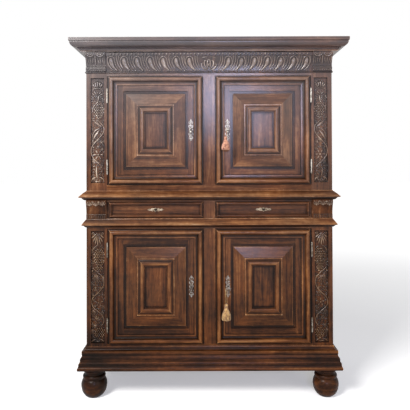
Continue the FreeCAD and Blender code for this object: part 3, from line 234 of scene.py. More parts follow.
WAXED = {
    "grain": "z", "across": None, "tones": WOOD_TONES, "level": 0.47, "wear": 0.55, "grime": 0.5,
    "hollow": 0.02, "steps": None, "steps_on": None, "extra": None, "raised": False,
    "dust": 0.8, "coat": 0.5, "rough": 0.42, "shine": SHINE_UP,
}


def profile_light_shade_and_wear(finish, value, steps):
    """Painted light and shade, with some wear, that follow a moulding's profile, from a list of places in
    millimetres and amounts.
    """
    low, high = steps[0][0], steps[-1][0]
    share = finish.span(value, low * MM, high * MM)
    return finish.ramp(share, [((place - low) / (high - low), amount) for place, amount in steps])


def grain_of(finish, look):
    """The place drawn out along the grain, which turns from stile to rail."""
    if look["across"] is None:
        return finish.scaled(GRAIN[look["grain"]])
    return finish.choose(look["across"](finish), finish.scaled(GRAIN["z"]), finish.scaled(GRAIN["x"]))


def wood_amount(finish, look, figure, fibre, patch, blotch, hollow):
    """How light the wood is painted, from hollows darkened by grime and painted shade at 0 to bare worn edges
    at 1.
    """
    x, z = finish.x, finish.z
    amount = look["level"]
    for value, strength in ((figure, 0.95), (fibre, 0.3), (patch, 0.36), (blotch, 0.26)):
        amount = finish.vary(amount, value, strength)
    # Painted light and shade, with some wear, along the mouldings' profiles.
    if look["steps"] is not None:
        amount = finish.vary(amount, profile_light_shade_and_wear(finish, look["steps_on"](finish), look["steps"]), 0.8)
    if look["extra"] is not None:
        amount = finish.plus(amount, look["extra"](finish))
    # Painted shade, darker low down.
    amount = finish.plus(amount, finish.span(z, *PAINTED_SHADE_UP))
    # Painted shade at the bottom left.
    left_foot_shade = finish.both(finish.span(x, *LEFT_FOOT_SHADE_ACROSS), finish.span(z, *LEFT_FOOT_SHADE_UP))
    amount = finish.minus(amount, left_foot_shade)
    edge = finish.span(finish.closed(0.0035, inside=True), 0.42, 0.85)
    worn = finish.both(edge, finish.span(blotch, 0.35, 0.62, 0.35, 1.0))
    amount = finish.plus(amount, finish.both(worn, look["wear"]))
    if look["raised"]:
        # Painted shade on the carving, lower down and towards the right.
        amount = finish.minus(amount, finish.span(z, *CARVING_SHADE_UP))
        amount = finish.minus(amount, finish.span(x, *CARVING_SHADE_ACROSS))
    # Grime and painted shade darken the hollows.
    return finish.minus(amount, finish.both(hollow, look["grime"]), clamp=True)


def aged(finish, colour, patch, dust):
    """Redder and browner patches, a warmer lower stage, and grey dust with a painted sheen of reflected light
    in the wax towards the top left.
    """
    warm = finish.mix(finish.span(patch, 0.35, 0.65, 0.0, 0.9), WHITE, WARM_PATCH, "MULTIPLY")
    colour = finish.mix(1.0, colour, warm, "MULTIPLY")
    tinted = finish.mix(1.0, colour, LOW_TINT, "MULTIPLY")
    colour = finish.mix(finish.span(finish.z, *LOW_TINT_UP), colour, tinted)
    grey = finish.add("ShaderNodeRGBToBW", {0: colour}).outputs[0]
    # Grey dust with a painted sheen of reflected light, high up and towards the left.
    dust_and_sheen_colour = finish.mix(0.75, colour, finish.mix(1.0, grey, DUST_AND_SHEEN_CAST, "MULTIPLY"))
    dust_and_sheen_colour = finish.mix(0.28, dust_and_sheen_colour, DUST_AND_SHEEN_GREY)
    height, side = finish.span(finish.z, *DUST_AND_SHEEN_UP, 0.0, dust), finish.span(finish.x, *DUST_AND_SHEEN_ACROSS)
    return finish.mix(finish.both(height, side, clamp=True), colour, dust_and_sheen_colour)


def wood(name, **changes):
    """Old waxed walnut: figure along the grain, worn copper edges, grime and painted shade in the hollows,
    painted light and shade by place and along the mouldings, grey dust with a painted sheen, and a coat of wax.
    """
    look = {**WAXED, **changes}
    finish = Finish(name)
    vector = grain_of(finish, look)
    figure = finish.noise(vector, 34.0, 5.0, 0.62, 0.7)
    fibre = finish.noise(vector, 420.0, 2.0, 0.6)
    patch = finish.noise(finish.place, 5.5, 3.0, 0.55)
    blotch = finish.noise(finish.place, 38.0, 3.0, 0.6)
    hollow = finish.closed(look["hollow"])
    amount = wood_amount(finish, look, figure, fibre, patch, blotch, hollow)
    open_share = finish.minus(1.0, finish.both(hollow, 1.4), clamp=True)
    polish = finish.both(finish.span(finish.z, *look["shine"]), open_share)
    rough = look["rough"]
    grain_relief = finish.relief(fibre, 0.35, 0.0004)
    finish.give(
        Base_Color=aged(finish, finish.ramp(amount, look["tones"]), patch, look["dust"]),
        Roughness=finish.span(finish.plus(blotch, fibre), 0.7, 1.3, rough - 0.08, rough + 0.12),
        Normal=finish.relief(finish.plus(blotch, finish.both(figure, 0.6)), 0.5, 0.0011, grain_relief),
        Coat_Weight=finish.both(polish, look["coat"]), Coat_Roughness=0.24, Specular_IOR_Level=0.06)
    return finish.material


# Painted light and shade, with some wear, on the mouldings: places along each profile in millimetres, and how
# light the wood is painted there.
# A door's places run inwards from its moulding's outer edge, the others upwards from the floor.
FRAME_STEPS = [
    (-4, 0.2), (1, 0.3), (5, 0.6), (14, 0.7), (22, 0.64), (27, 0.42), (32, 0.24), (38, 0.3), (42, 0.62),
    (45, 0.6), (49, 0.4), (56, 0.5), (78, 0.47), (82, 0.3),
]
PANEL_STEPS = [
    (80, 0.2), (86, 0.24), (95, 0.26), (97.5, 0.74), (101, 0.5), (130, 0.5), (157, 0.52), (160, 0.76),
    (164, 0.52), (167, 0.26), (175, 0.32), (180, 0.6), (191, 0.66), (197, 0.46), (203, 0.22), (208, 0.34),
    (219, 0.44), (300, 0.46),
]
CORNICE_STEPS = [
    (1930, 0.6), (1934, 0.95), (1939, 0.8), (1943, 0.4), (1948, 0.58), (1953, 0.6), (1958, 0.5),
    (1966, 0.38), (1976, 0.38), (1982, 0.46), (1984, 0.6), (1990, 0.5), (2000, 0.54),
]
WAIST_STEPS = [
    (950, 0.3), (956, 0.34), (962, 0.42), (965.5, 0.9), (970, 0.84), (982, 0.64), (992, 0.56), (998, 0.66),
    (1002, 0.5), (1100, 0.4), (1106, 0.3), (1112, 0.36), (1119, 0.46), (1123.5, 0.92), (1128, 0.84),
    (1138, 0.62), (1149, 0.58), (1154, 0.72), (1158, 0.6),
]
PLINTH_STEPS = [
    (160, 0.4), (168, 0.56), (176, 0.66), (184, 0.5), (190, 0.3), (200, 0.46), (206, 0.62), (210, 0.42),
    (224, 0.4), (238, 0.58), (246, 0.34), (252, 0.5), (262, 0.66), (268, 0.5), (278, 0.42), (284, 0.66),
    (290, 0.5),
]
# Members of the door's relief, by how far inside its outer edge they lie
OUTER_MOULDING_WIDE = 0.048
PANEL_EDGE = 0.081
TABLET_EDGE = 0.204
PLAIN_PLACE = {"frame": 0.056, "panel": 0.130}


def door_distances(finish, stage):
    """How far a point lies inside the relief's outer edge, across and along the door."""
    low, high = DOOR[stage]
    out = finish.math("ABSOLUTE", finish.x)
    across = (finish.minus(out, low.x + MOULDING_IN), finish.minus(high.x - HINGE_SIDE_IN, out))
    along = (finish.minus(finish.z, low.z + MOULDING_IN), finish.minus(high.z - MOULDING_IN, finish.z))
    return finish.least(*across), finish.least(*along)


def door_wood(stage, part):
    """Walnut whose grain turns at the mitres and whose painted light and shade, with some wear, follow the
    door's mouldings.
    """
    def turned(finish):
        across, along = door_distances(finish, stage)
        on_rail = finish.above(across, along)
        if part == "frame":
            on_moulding = finish.both(on_rail, finish.below(along, OUTER_MOULDING_WIDE))
            return finish.math("MAXIMUM", on_moulding, finish.above(across, PANEL_EDGE))
        return finish.minus(on_rail, finish.above(finish.least(across, along), TABLET_EDGE), clamp=True)

    def depth(finish):
        inwards = finish.least(*door_distances(finish, stage))
        # The flat back has no mouldings, so it takes a plain place of the list
        behind = finish.above(finish.y, DOOR_BACK_Y)
        kept = finish.both(inwards, finish.minus(1.0, behind))
        return finish.plus(kept, finish.both(behind, PLAIN_PLACE[part]))

    level = 0.50 if (stage, part) == ("lower", "panel") else WAXED["level"]
    steps = FRAME_STEPS if part == "frame" else PANEL_STEPS
    return wood("walnut_%s_door_%s" % (stage, part), level=level, across=turned, steps=steps, steps_on=depth)


def height_of(finish):
    return finish.z


def on_upper_rail(finish):
    low, high = DOOR["upper"]
    under, over = finish.below(finish.z, low.z - JOINT), finish.above(finish.z, high.z + JOINT)
    return finish.plus(under, over, clamp=True)


def on_lower_rail(finish):
    """The bottom rail, the waist rail between doors and drawers, and the top rail."""
    door_low, door_high = DOOR["lower"]
    drawer_low, drawer_high = DRAWER
    waist = finish.math("COMPARE", finish.z, (door_high.z + drawer_low.z) / 2)
    waist.node.inputs[2].default_value = (drawer_low.z - door_high.z) / 2 - JOINT
    low_or_waist = finish.plus(finish.below(finish.z, door_low.z - JOINT), waist)
    return finish.plus(low_or_waist, finish.above(finish.z, drawer_high.z + JOINT), clamp=True)


# Carved wood

FULL_RISE = 8.0
# How light the carving is painted by its rise: painted shade at the ground, a painted highlight on the tops.
CARVED_STEPS = [(0.0, 0.0), (0.2, 0.1), (0.45, 0.36), (0.7, 0.58), (1.0, 0.68)]
GADROON_STEPS = [(0.0, 0.06), (0.2, 0.24), (0.45, 0.42), (0.7, 0.50), (1.0, 0.52)]
CARVED_LOOK = {
    "tones": CARVED_TONES, "wear": 0.25, "grime": 0.7, "hollow": 0.006, "raised": True, "dust": 0.96,
    "coat": 1.0, "rough": 0.3, "shine": (0.3, 1.7, 0.5, 1.0),
}


def painted_light_by_rise(steps):
    """Painted shade down at the ground and a painted highlight where the carving stands proud: rise is in
    millimetres.
    """
    def lightness(finish):
        rise = finish.add("ShaderNodeAttribute", attribute_name="rise").outputs["Fac"]
        return finish.ramp(finish.span(rise, 0.0, FULL_RISE), steps)
    return lightness


def punched(finish, low, high):
    """Fine punch marks over a carving's ground."""
    return finish.span(finish.noise(finish.place, 520.0, 1.0), 0.35, 0.65, low, high)


def sunk_field(finish):
    """The ground of a pilaster's sunk field, painted darker the deeper it lies: painted shade in the recess,
    speckled with punch marks.
    """
    out = finish.math("ABSOLUTE", finish.x)
    within = finish.both(
        finish.above(out, FIELD_MIDDLE - FIELD_HALF), finish.below(out, FIELD_MIDDLE + FIELD_HALF))
    within = finish.both(within, finish.below(finish.y, FACE_Y + FIELD_DEPTH + 0.0015))
    deep_shade = finish.both(within, finish.span(finish.y, FACE_Y + 0.001, FACE_Y + 0.007))
    return finish.both(deep_shade, punched(finish, -0.24, 0.10))


def dark_ground(finish):
    """The ground between the gadroons and leaves of the frieze and its blocks."""
    return finish.both(finish.below(finish.y, FACE_Y - 0.001), punched(finish, -0.30, -0.1))


# Metal

def metal(name, colour, tarnish, roughness, pitted, low=0.0):
    """Worn metal with tarnish in its hollows and fine pits, and painted shade that darkens it towards the
    floor.
    """
    finish = Finish(name)
    patch = finish.noise(finish.place, 90.0, 4.0, 0.65)
    speck = finish.noise(finish.place, 900.0, 2.0, 0.6)
    amount = finish.plus(finish.span(patch, 0.4, 0.7), finish.both(finish.closed(0.003), 1.2), clamp=True)
    # Painted shade: darker towards the floor.
    amount = finish.plus(amount, finish.span(finish.z, 0.8, 1.5, low, 0.0), clamp=True)
    finish.give(
        Base_Color=finish.mix(amount, colour, tarnish), Metallic=0.6,
        Roughness=finish.span(patch, 0.3, 0.7, roughness, roughness + 0.25),
        Normal=finish.relief(finish.plus(patch, speck), pitted, 0.0004))
    return finish.material


# Which finish each solid takes

upright = wood("walnut_upright", level=0.45, extra=sunk_field)
carved = wood("walnut_carved", level=0.40, extra=painted_light_by_rise(CARVED_STEPS), **CARVED_LOOK)
carved_gadroons = wood("walnut_gadroons", level=0.42, extra=painted_light_by_rise(GADROON_STEPS), **CARVED_LOOK)
# The drawer blocks' leaf tips are painted lighter: a painted highlight against the shade under the moulding
# above.
carved_lit_tips = wood("walnut_lit_leaf_tips", level=0.59, extra=painted_light_by_rise(CARVED_STEPS), **CARVED_LOOK)
carved_ground = wood("walnut_carved_ground", level=0.42, wear=0.4, extra=dark_ground)
level_wood = wood("walnut_level", grain="x", level=0.43)
feet_wood = wood("walnut_turned", grain="x", level=0.42, wear=0.5)
side_wood = wood("walnut_side", level=0.42)
drawer_wood = wood("walnut_drawer", grain="x", level=0.46)
inner_wood = wood("oak_inside", grain="x", level=0.66, wear=0.2, dust=0.24, coat=0.0, rough=0.75)
back_wood = wood("poplar_back", level=0.70, wear=0.2, dust=0.24, coat=0.0, rough=0.8)
iron = metal("worn_iron", tint(214, 210, 204), tint(86, 70, 54), 0.32, 0.5, low=0.38)
dark_iron = metal("lock_iron", tint(96, 92, 88), tint(44, 40, 36), 0.42, 0.4)
hinge_iron = metal("hinge_iron", tint(186, 178, 166), tint(86, 74, 58), 0.42, 0.3, low=0.55)
# A near-black finish for the keyholes: painted shade where the hole is.
keyhole_painted_shade = metal("keyhole_painted_shade", tint(26, 22, 20), tint(12, 10, 9), 0.7, 0.2)
brass = metal("pale_brass", tint(190, 174, 150), tint(108, 92, 72), 0.42, 0.3)

FINISHES = {
    "front_feet": feet_wood, "rear_feet": side_wood,
    "plinth_moulding": wood("walnut_plinth", grain="x", level=0.42, steps=PLINTH_STEPS, steps_on=height_of),
    "lower_posts": upright, "upper_posts": upright, "lower_sides": side_wood, "upper_sides": side_wood,
    "lower_front_frame": wood("walnut_lower_frame", across=on_lower_rail),
    "upper_front_frame": wood(
        "walnut_upper_frame", across=on_upper_rail, coat=0.9, rough=0.36, shine=(1.35, 1.82, 0.12, 1.1)),
    "lower_boards": inner_wood, "upper_boards": inner_wood, "drawer_runners": inner_wood,
    "lower_back_boards": back_wood, "upper_back_boards": back_wood,
    "waist_moulding": wood("walnut_waist", grain="x", level=0.42, steps=WAIST_STEPS, steps_on=height_of),
    "table_top": level_wood, "frieze": carved_ground, "frieze_corner_blocks": carved_ground,
    "drawer_corner_blocks": wood("walnut_drawer_block", level=0.44, coat=0.1),
    "cornice": wood(
        "walnut_cornice", grain="x", level=0.39, grime=0.2, dust=0.96, steps=CORNICE_STEPS,
        steps_on=height_of),
    "fixed_hinge_leaves": hinge_iron, "strike_plates": dark_iron,
    "upper_key": iron, "lower_key": iron, "upper_tassel": brass, "lower_tassel": brass,
}
DOOR_METAL = {"escutcheon": iron, "lock": dark_iron, "bolt": dark_iron, "hinge_leaves": hinge_iron}
DRAWER_PARTS = {
    "front": drawer_wood, "box": inner_wood, "escutcheon": brass, "lock": dark_iron, "bolt": dark_iron,
}
for stage in STAGES:
    door_parts = {"frame": door_wood(stage, "frame"), "panel": door_wood(stage, "panel"), **DOOR_METAL}
    for side in SIDES:
        for part, material in door_parts.items():
            FINISHES["%s_%s_door_%s" % (stage, side, part)] = material
for side in SIDES:
    for part, material in DRAWER_PARTS.items():
        FINISHES["%s_drawer_%s" % (side, part)] = material

for name, node in cad.items():
    node.data.materials.clear()
    node.data.materials.append(FINISHES[name])


# Carving

# How far a ridge stands over the ground, in millimetres: its foot, and so much for each millimetre of its
# half width, though never past the most or past its cap
RIDGE_FOOT = 2.4
RIDGE_PROUD = 1.5
RIDGE_MOST = 1.15
RIDGE_CAP = 8.4
LEAF_PITCH = 15.0
PILASTER_SWELL = 1.12


def show(item):
    bpy.context.scene.collection.objects.link(item)


def pick(items):
    bpy.ops.object.select_all(action="DESELECT")
    for item in items:
        item.select_set(True)
    bpy.context.view_layer.objects.active = items[0]


def smooth_tube(curve, placed):
    """One open spline through places, each with its own half width."""
    spline = curve.splines.new("NURBS")
    spline.points.add(len(placed) - 1)
    for point, (place, radius) in zip(spline.points, placed):
        point.co = (*place, 1)
        point.radius = radius
    spline.order_u = 3
    spline.use_endpoint_u = True


def tube_curve(name, half_width, section, steps):
    curve = bpy.data.curves.new(name, "CURVE")
    curve.dimensions = "3D"
    curve.bevel_depth = half_width
    curve.bevel_resolution = section
    curve.resolution_u = steps
    return curve


def curve_to_mesh(name, curve):
    piece = bpy.data.objects.new(name, curve)
    show(piece)
    pick([piece])
    bpy.ops.object.convert(target="MESH")
    return bpy.context.object


def join_smooth(parts):
    """All parts become one smooth piece with its place in its mesh."""
    pick(parts)
    if len(parts) > 1:
        bpy.ops.object.join()
    bpy.ops.object.transform_apply(location=True, rotation=True, scale=True)
    bpy.ops.object.shade_smooth()
    return bpy.context.object


def dress(piece, name, material, body):
    piece.name = name
    piece.data.name = name
    piece.data.materials.clear()
    piece.data.materials.append(material)
    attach(piece, body)


class Carving:
    """Strokes and beads laid on a surface, made into one carved piece."""

    def __init__(self, name, surface, middle=0.0, flip=1, swell=1.0):
        self.name = name
        self.surface = surface
        self.middle = middle
        self.flip = flip
        self.swell = swell
        self.strokes = []
        self.beads = []

    def place(self, across, up, radius, proud, cap):
        x = (self.middle + self.flip * across) * MM
        z = up * MM
        top = min(2.0 * radius, RIDGE_FOOT + RIDGE_MOST * radius, proud * radius + RIDGE_FOOT, cap) * MM
        return Vector((x, self.surface(x, z) + radius * MM - top, z))

    def stroke(self, *points, proud=RIDGE_PROUD, cap=RIDGE_CAP):
        """A tapered ridge through points of (across, up, half width) in millimetres."""
        placed = []
        for across, up, radius in points:
            radius *= self.swell
            placed.append((self.place(across, up, radius, proud, cap), radius))
        self.strokes.append(placed)

    def pair(self, *points, **height):
        """The same ridge on both sides of the middle."""
        for way in (-1, 1):
            self.stroke(*[(way * across, up, radius) for across, up, radius in points], **height)

    def bead(self, across, up, radius, long=1.0, cap=RIDGE_CAP):
        self.beads.append((self.place(across, up, radius, RIDGE_PROUD, cap), radius, long))

    def leaf(self, across, up, angle, length, ribs=3, spread=38, width=3.8):
        """A carved leaf: a middle rib with side ribs that fan from its foot."""
        for number in range(-ribs + 1, ribs):
            turn = math.radians(angle + spread * number / max(ribs - 1, 1) * 0.8)
            reach = length * (1 - 0.16 * abs(number))
            bent = turn + math.radians(14 * number)
            x, z = across + 0.55 * reach * math.cos(turn), up + 0.55 * reach * math.sin(turn)
            tip_x, tip_z = x + 0.45 * reach * math.cos(bent), z + 0.45 * reach * math.sin(bent)
            self.stroke((across, up, 0.8), (x, z, width), (tip_x, tip_z, 0.9))

    def sprigs(self, *points, length=24, width=3.4):
        """Small leaves on both sides of a stem."""
        for (x0, z0), (x1, z1) in zip(points, points[1:]):
            heading = math.degrees(math.atan2(z1 - z0, x1 - x0))
            for way, share in ((-1, 0.8), (1, 0.35)):
                x, z = x0 + share * (x1 - x0), z0 + share * (z1 - z0)
                reach = length * (1.0 if way * (z1 - z0) * x < 0 else 0.6)
                self.leaf(x, z, heading + way * 52, reach, 2, 30, width)

    def curl(self, across, up, radius, start, turns, width=2.6):
        """A volute that winds inwards from a start angle."""
        points = []
        steps = max(6, int(abs(turns) * 9))
        for number in range(steps + 1):
            share = number / steps
            angle = math.radians(start) + share * turns * 2 * math.pi
            reach = radius * (1 - 0.78 * share)
            x, z = across + reach * math.cos(angle), up + reach * math.sin(angle)
            points.append((x, z, width * (1 - 0.35 * share)))
        self.stroke(*points)
        self.bead(across, up, width * 1.25)

    def grapes(self, across, up, half_width, half_height, radius, seed):
        """A bunch of grapes, broad at its top and pointed below."""
        random = Random(seed)
        pitch = radius * 2.3
        row_pitch = pitch * 0.87
        rows = int(2 * half_height / row_pitch)
        for row in range(rows):
            height = up + half_height - (row + 0.5) * row_pitch
            share = (row + 0.5) / rows
            reach = half_width * min(1.0, 0.62 + 1.9 * share, 2.3 * (1.06 - share))
            shift = 0.5 * (row % 2)
            for number in range(-9, 10):
                offset = (number + shift) * pitch
                if abs(offset) <= reach:
                    swell = radius * random.uniform(0.9, 1.1)
                    x = across + offset + random.uniform(-0.5, 0.5)
                    self.bead(x, height + random.uniform(-0.5, 0.5), swell)

    def flower(self, across, up, radius, petals=5, start=90):
        """Petals with open ground between them, round a small eye."""
        for number in range(petals):
            angle = math.radians(start + 360 * number / petals)
            petal = []
            for reach, width in ((0.34, 0.07), (0.74, 0.20), (1.0, 0.09)):
                x, z = across + reach * radius * math.cos(angle), up + reach * radius * math.sin(angle)
                petal.append((x, z, width * radius))
            self.stroke(*petal)
        self.bead(across, up, radius * 0.2)

    def foliage(self, half_width, low, high, seed, clear):
        """Small low leaves that cover the ground between the main forms, but for a few ovals."""
        random = Random(seed)
        rows = round((high - low) / LEAF_PITCH)
        columns = round(2 * half_width / LEAF_PITCH)
        for row in range(rows):
            shift = 0.25 if row % 2 else -0.25
            for column in range(columns):
                across = LEAF_PITCH * (column + 0.5 + shift - columns / 2) + random.uniform(-1.5, 1.5)
                up = low + LEAF_PITCH * (row + 0.3) + random.uniform(-1.5, 1.5)
                if any(math.hypot((across - x) / wide, (up - z) / tall) < 1 for x, z, wide, tall in clear):
                    continue
                self.small_leaf(across, up, random.choice((40, 75, 105, 140)) + random.uniform(-14, 14))

    def small_leaf(self, across, up, heading):
        """Three low ribs that bend away from the middle one."""
        for rib in (-34, 0, 34):
            turn = math.radians(heading + rib)
            side, rise = math.cos(turn), math.sin(turn)
            reach = LEAF_PITCH * (0.95 if rib == 0 else 0.72)
            bend = 0.16 * reach * (1 if rib > 0 else -1)
            middle = (across + 0.55 * reach * side - bend * rise, up + 0.55 * reach * rise + bend * side, 2.5)
            tip = (across + reach * side, up + reach * rise, 0.6)
            self.stroke((across, up, 0.6), middle, tip, proud=0.9, cap=5.6)

    def bead_copies(self):
        """One round bead is modelled, and each place gets a copy with its own mesh."""
        if not self.beads:
            return []
        quarter = math.radians(90)
        bpy.ops.mesh.primitive_uv_sphere_add(segments=10, ring_count=7, radius=1, rotation=(quarter, 0, 0))
        pattern = bpy.context.object
        bpy.ops.object.transform_apply(rotation=True)
        copies = []
        for place, radius, long in self.beads:
            bead = pattern.copy()
            bead.data = pattern.data.copy()
            size = radius * MM
            bead.matrix_world = Matrix.Translation(place) @ Matrix.Diagonal((size, size, size * long, 1))
            show(bead)
            copies.append(bead)
        bpy.data.objects.remove(pattern)
        return copies

    def finish(self, material, body="carcass"):
        """The strokes become tubes and join the beads. Each point keeps its rise as an attribute."""
        curve = tube_curve(self.name, MM, 2, 5)
        curve.use_fill_caps = True
        for placed in self.strokes:
            smooth_tube(curve, placed)
        piece = join_smooth([curve_to_mesh(self.name, curve), *self.bead_copies()])
        rise = piece.data.attributes.new("rise", "FLOAT", "POINT")
        for vertex, value in zip(piece.data.vertices, rise.data):
            value.value = (self.surface(vertex.co.x, vertex.co.z) - vertex.co.y) / MM
        dress(piece, self.name, material, body)
        return piece


def front_of(node):
    """How far forward a solid's front stands at a place: looked up on the frame's own mesh."""
    tree = BVHTree.FromObject(cad[node], bpy.context.evaluated_depsgraph_get())
    low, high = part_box(node)
    fallback = low.y

    def surface(x, z):
        hit = tree.ray_cast(Vector((x, -1.0, z)), Vector((0, 1, 0)))
        return hit[0].y if hit[0] is not None else fallback
    return surface


def level_face(y):
    return lambda x, z: y


def pilaster(side, flip, stage):
    """A carving on the ground of a pilaster's sunk field, mirrored on the other side."""
    name = "%s_%s_pilaster_carving" % (side, stage)
    ground = level_face(FACE_Y + FIELD_DEPTH)
    return Carving(name, ground, flip * FIELD_MIDDLE / MM, -flip, PILASTER_SWELL)


def field_palmette(work, up):
    """The shell at the head of a pilaster: a scalloped edge over flutes, a hollow arch and petals."""
    for across, rise in ((-25, 44), (-13, 54), (0, 58), (13, 54), (25, 44)):
        top = up + rise
        foot, waist = (across * 0.55, up + 22, 1.8), (across * 0.8, up + 34, 4)
        work.stroke(foot, waist, (across, top - 4, 4.4), (across, top, 2))
        work.stroke(
            (across - 6.5, top, 1.2), (across - 5, top + 7, 1.8), (across + 5, top + 7, 1.8),
            (across + 6.5, top, 1.2), cap=5)
    work.stroke(
        (-30, up, 1.6), (-27, up + 14, 2.4), (-12, up + 19, 2.4), (0, up + 17, 2.2), (12, up + 19, 2.4),
        (27, up + 14, 2.4), (30, up, 1.6))
    work.pair((3, up - 16, 1.6), (11, up - 10, 3.4), (18, up - 2, 3), (17, up + 6, 1.4))
    work.pair((5, up - 20, 1.4), (20, up - 19, 3.4), (31, up - 11, 1.6))
    work.stroke((0, up - 16, 1.4), (0, up - 6, 3.6), (0, up + 3, 1.4))


def upper_pilaster(side, flip):
    work = pilaster(side, flip, "upper")
    work.foliage(37, 1196, 1690, 17, ((9, 1600, 30, 50), (4, 1358, 29, 29), (-10, 1472, 14, 34)))
    field_palmette(work, 1712)
    # Ear, stem and grapes
    work.stroke((4, 1690, 2), (5, 1676, 6.5), (3, 1660, 4), (0, 1652, 1.5))
    for up in (1662, 1671, 1680):
        work.stroke((-3, up, 1), (-9, up + 6, 2.4), (-9, up + 12, 1))
        work.stroke((8, up, 1), (14, up + 6, 2.4), (14, up + 12, 1))
    work.stroke((2, 1656, 2.6), (-14, 1640, 2.8), (-28, 1620, 2.8), (-31, 1604, 2.6), (-24, 1590, 1.4))
    work.grapes(9, 1600, 27, 46, 4.5, 3)
    work.leaf(30, 1660, 60, 24, 2)
    work.leaf(-28, 1668, 100, 26, 2)
    work.stroke((-36, 1566, 1.2), (-26, 1562, 3.8), (-12, 1560, 1.2))
    # Slanting leaf below the grapes
    for number in range(5):
        shift = number * 9.5
        work.stroke(
            (-30 + shift * 0.7, 1556 - shift * 0.4, 1.2), (-14 + shift * 0.7, 1540 - shift * 0.4, 2.8),
            (4 + shift * 0.62, 1520 - shift * 0.3, 1.2))
    # The vine winds from here to the foot
    work.stroke(
        (-5, 1556, 2), (16, 1538, 2.8), (33, 1518, 3), (37, 1500, 3), (32, 1482, 3), (20, 1464, 3),
        (-2, 1440, 3), (-22, 1420, 3), (-35, 1398, 3), (-38, 1376, 3), (-32, 1350, 3),
        (-14, 1326, 2.8), (8, 1306, 2.6), (26, 1286, 1.6))
    work.sprigs((37, 1500), (20, 1464), (-22, 1420), (-38, 1376), (-14, 1326), (26, 1286))
    # Smooth lens-shaped leaf left of the stem
    work.stroke((14, 1500, 1), (0, 1484, 5.4), (-16, 1462, 6.2), (-28, 1436, 1.2))
    work.stroke((20, 1512, 1), (-6, 1502, 3), (-26, 1478, 3), (-34, 1448, 1))
    work.leaf(12, 1424, 20, 26, 3, 30, 3.2)
    work.leaf(-4, 1404, -8, 24, 2, 24, 3)
    work.flower(4, 1358, 27, 6, 60)
    work.curl(26, 1392, 9, 200, 1.1)
    work.leaf(-14, 1322, 215, 26, 3, 40, 3.2)
    work.stroke((-30, 1296, 1.2), (-20, 1291, 4.2), (-8, 1294, 1.2))
    # Stalk and the leaves at the foot
    work.stroke((-6, 1300, 1.4), (-8, 1274, 3.4), (-6, 1246, 3.6), (-2, 1226, 2))
    for up in (1238, 1252, 1266):
        work.stroke((-2, up, 1), (10, up + 12, 3), (24, up + 12, 1.2))
        work.stroke((-10, up + 2, 1), (-20, up + 12, 2.6), (-30, up + 8, 1))
    work.pair((4, 1226, 1.5), (18, 1232, 3.6), (32, 1220, 3.4), (36, 1206, 1.4))
    work.pair((4, 1214, 1.5), (14, 1218, 3.8), (25, 1210, 1.4))
    for way in (-1, 1):
        work.bead(way * 20, 1222, 4.4)
    work.stroke((-16, 1205, 1.4), (0, 1210, 3.4), (16, 1205, 1.4))
    work.finish(carved)


def lower_pilaster(side, flip):
    work = pilaster(side, flip, "lower")
    work.foliage(37, 304, 846, 29, ((8, 764, 33, 70), (6, 528, 26, 26), (10, 352, 30, 36)))
    # Hanging acanthus shell
    for angle in (-60, -38, -19, 0, 19, 38, 60):
        turn = math.radians(270 + angle)
        reach = 74 - 0.24 * abs(angle)
        points = []
        for share, width in ((0.1, 1.4), (0.45, 3.4), (0.8, 5), (1, 2.2)):
            far = reach * share
            points.append((0.66 * far * math.cos(turn), 920 + far * math.sin(turn), width))
        work.stroke(*points)
    for way in (-1, 1):
        work.curl(way * 24, 912, 9, 90 - way * 90, way)
    work.stroke((-6, 846, 1.6), (-20, 838, 3), (-31, 820, 2.6), (-34, 800, 1.4))
    work.stroke((8, 846, 1.6), (22, 842, 3), (34, 828, 1.6))
    work.grapes(8, 764, 30, 68, 4.7, 8)
    work.bead(-30, 706, 6)
    work.leaf(-26, 744, 105, 30, 2, 30, 3)
    # The vine winds from here to the foot
    work.stroke(
        (-27, 722, 2.4), (-8, 704, 3), (14, 686, 3), (30, 668, 3), (36, 648, 3), (33, 626, 3),
        (20, 602, 3), (-2, 580, 3), (-24, 562, 3), (-35, 540, 3), (-34, 518, 3), (-24, 500, 3),
        (-2, 482, 3), (20, 462, 3), (33, 444, 3), (35, 422, 3), (24, 400, 2.6), (6, 386, 1.8))
    work.sprigs(
        (14, 686), (36, 648), (20, 602), (-24, 562), (-34, 518), (-2, 482), (33, 444), (24, 400), length=28)
    work.leaf(-16, 690, 290, 76, 4, 30, 4.4)
    work.leaf(-30, 640, 250, 34, 3, 40, 3.2)
    work.curl(-14, 604, 11, 60, 1.2)
    work.flower(6, 528, 24, 5, 90)
    work.leaf(28, 512, 280, 34, 3, 36, 3.2)
    work.leaf(-22, 488, 255, 44, 3, 40, 3.4)
    work.curl(-8, 446, 12, 20, -1.2)
    work.leaf(12, 436, 190, 26, 2, 40, 3)
    work.leaf(-8, 402, 200, 30, 3, 40, 3.2)
    work.grapes(10, 352, 27, 36, 4.5, 13)
    work.leaf(-30, 384, 275, 44, 3, 26, 3.2)
    work.pair((3, 322, 1.4), (18, 324, 3.6), (31, 314, 2.6), (34, 306, 1.2))
    work.stroke((-14, 310, 1.2), (0, 313, 3.2), (14, 310, 1.2))
    work.finish(carved)


# Millimetres: the gadroons' spacing from the frieze's ends, and the pearls' from its middle
FIRST_GADROON = 549
GADROON_PITCH = 73
PEARL_PITCH = 19.6
BLOCK_MIDDLE = 634


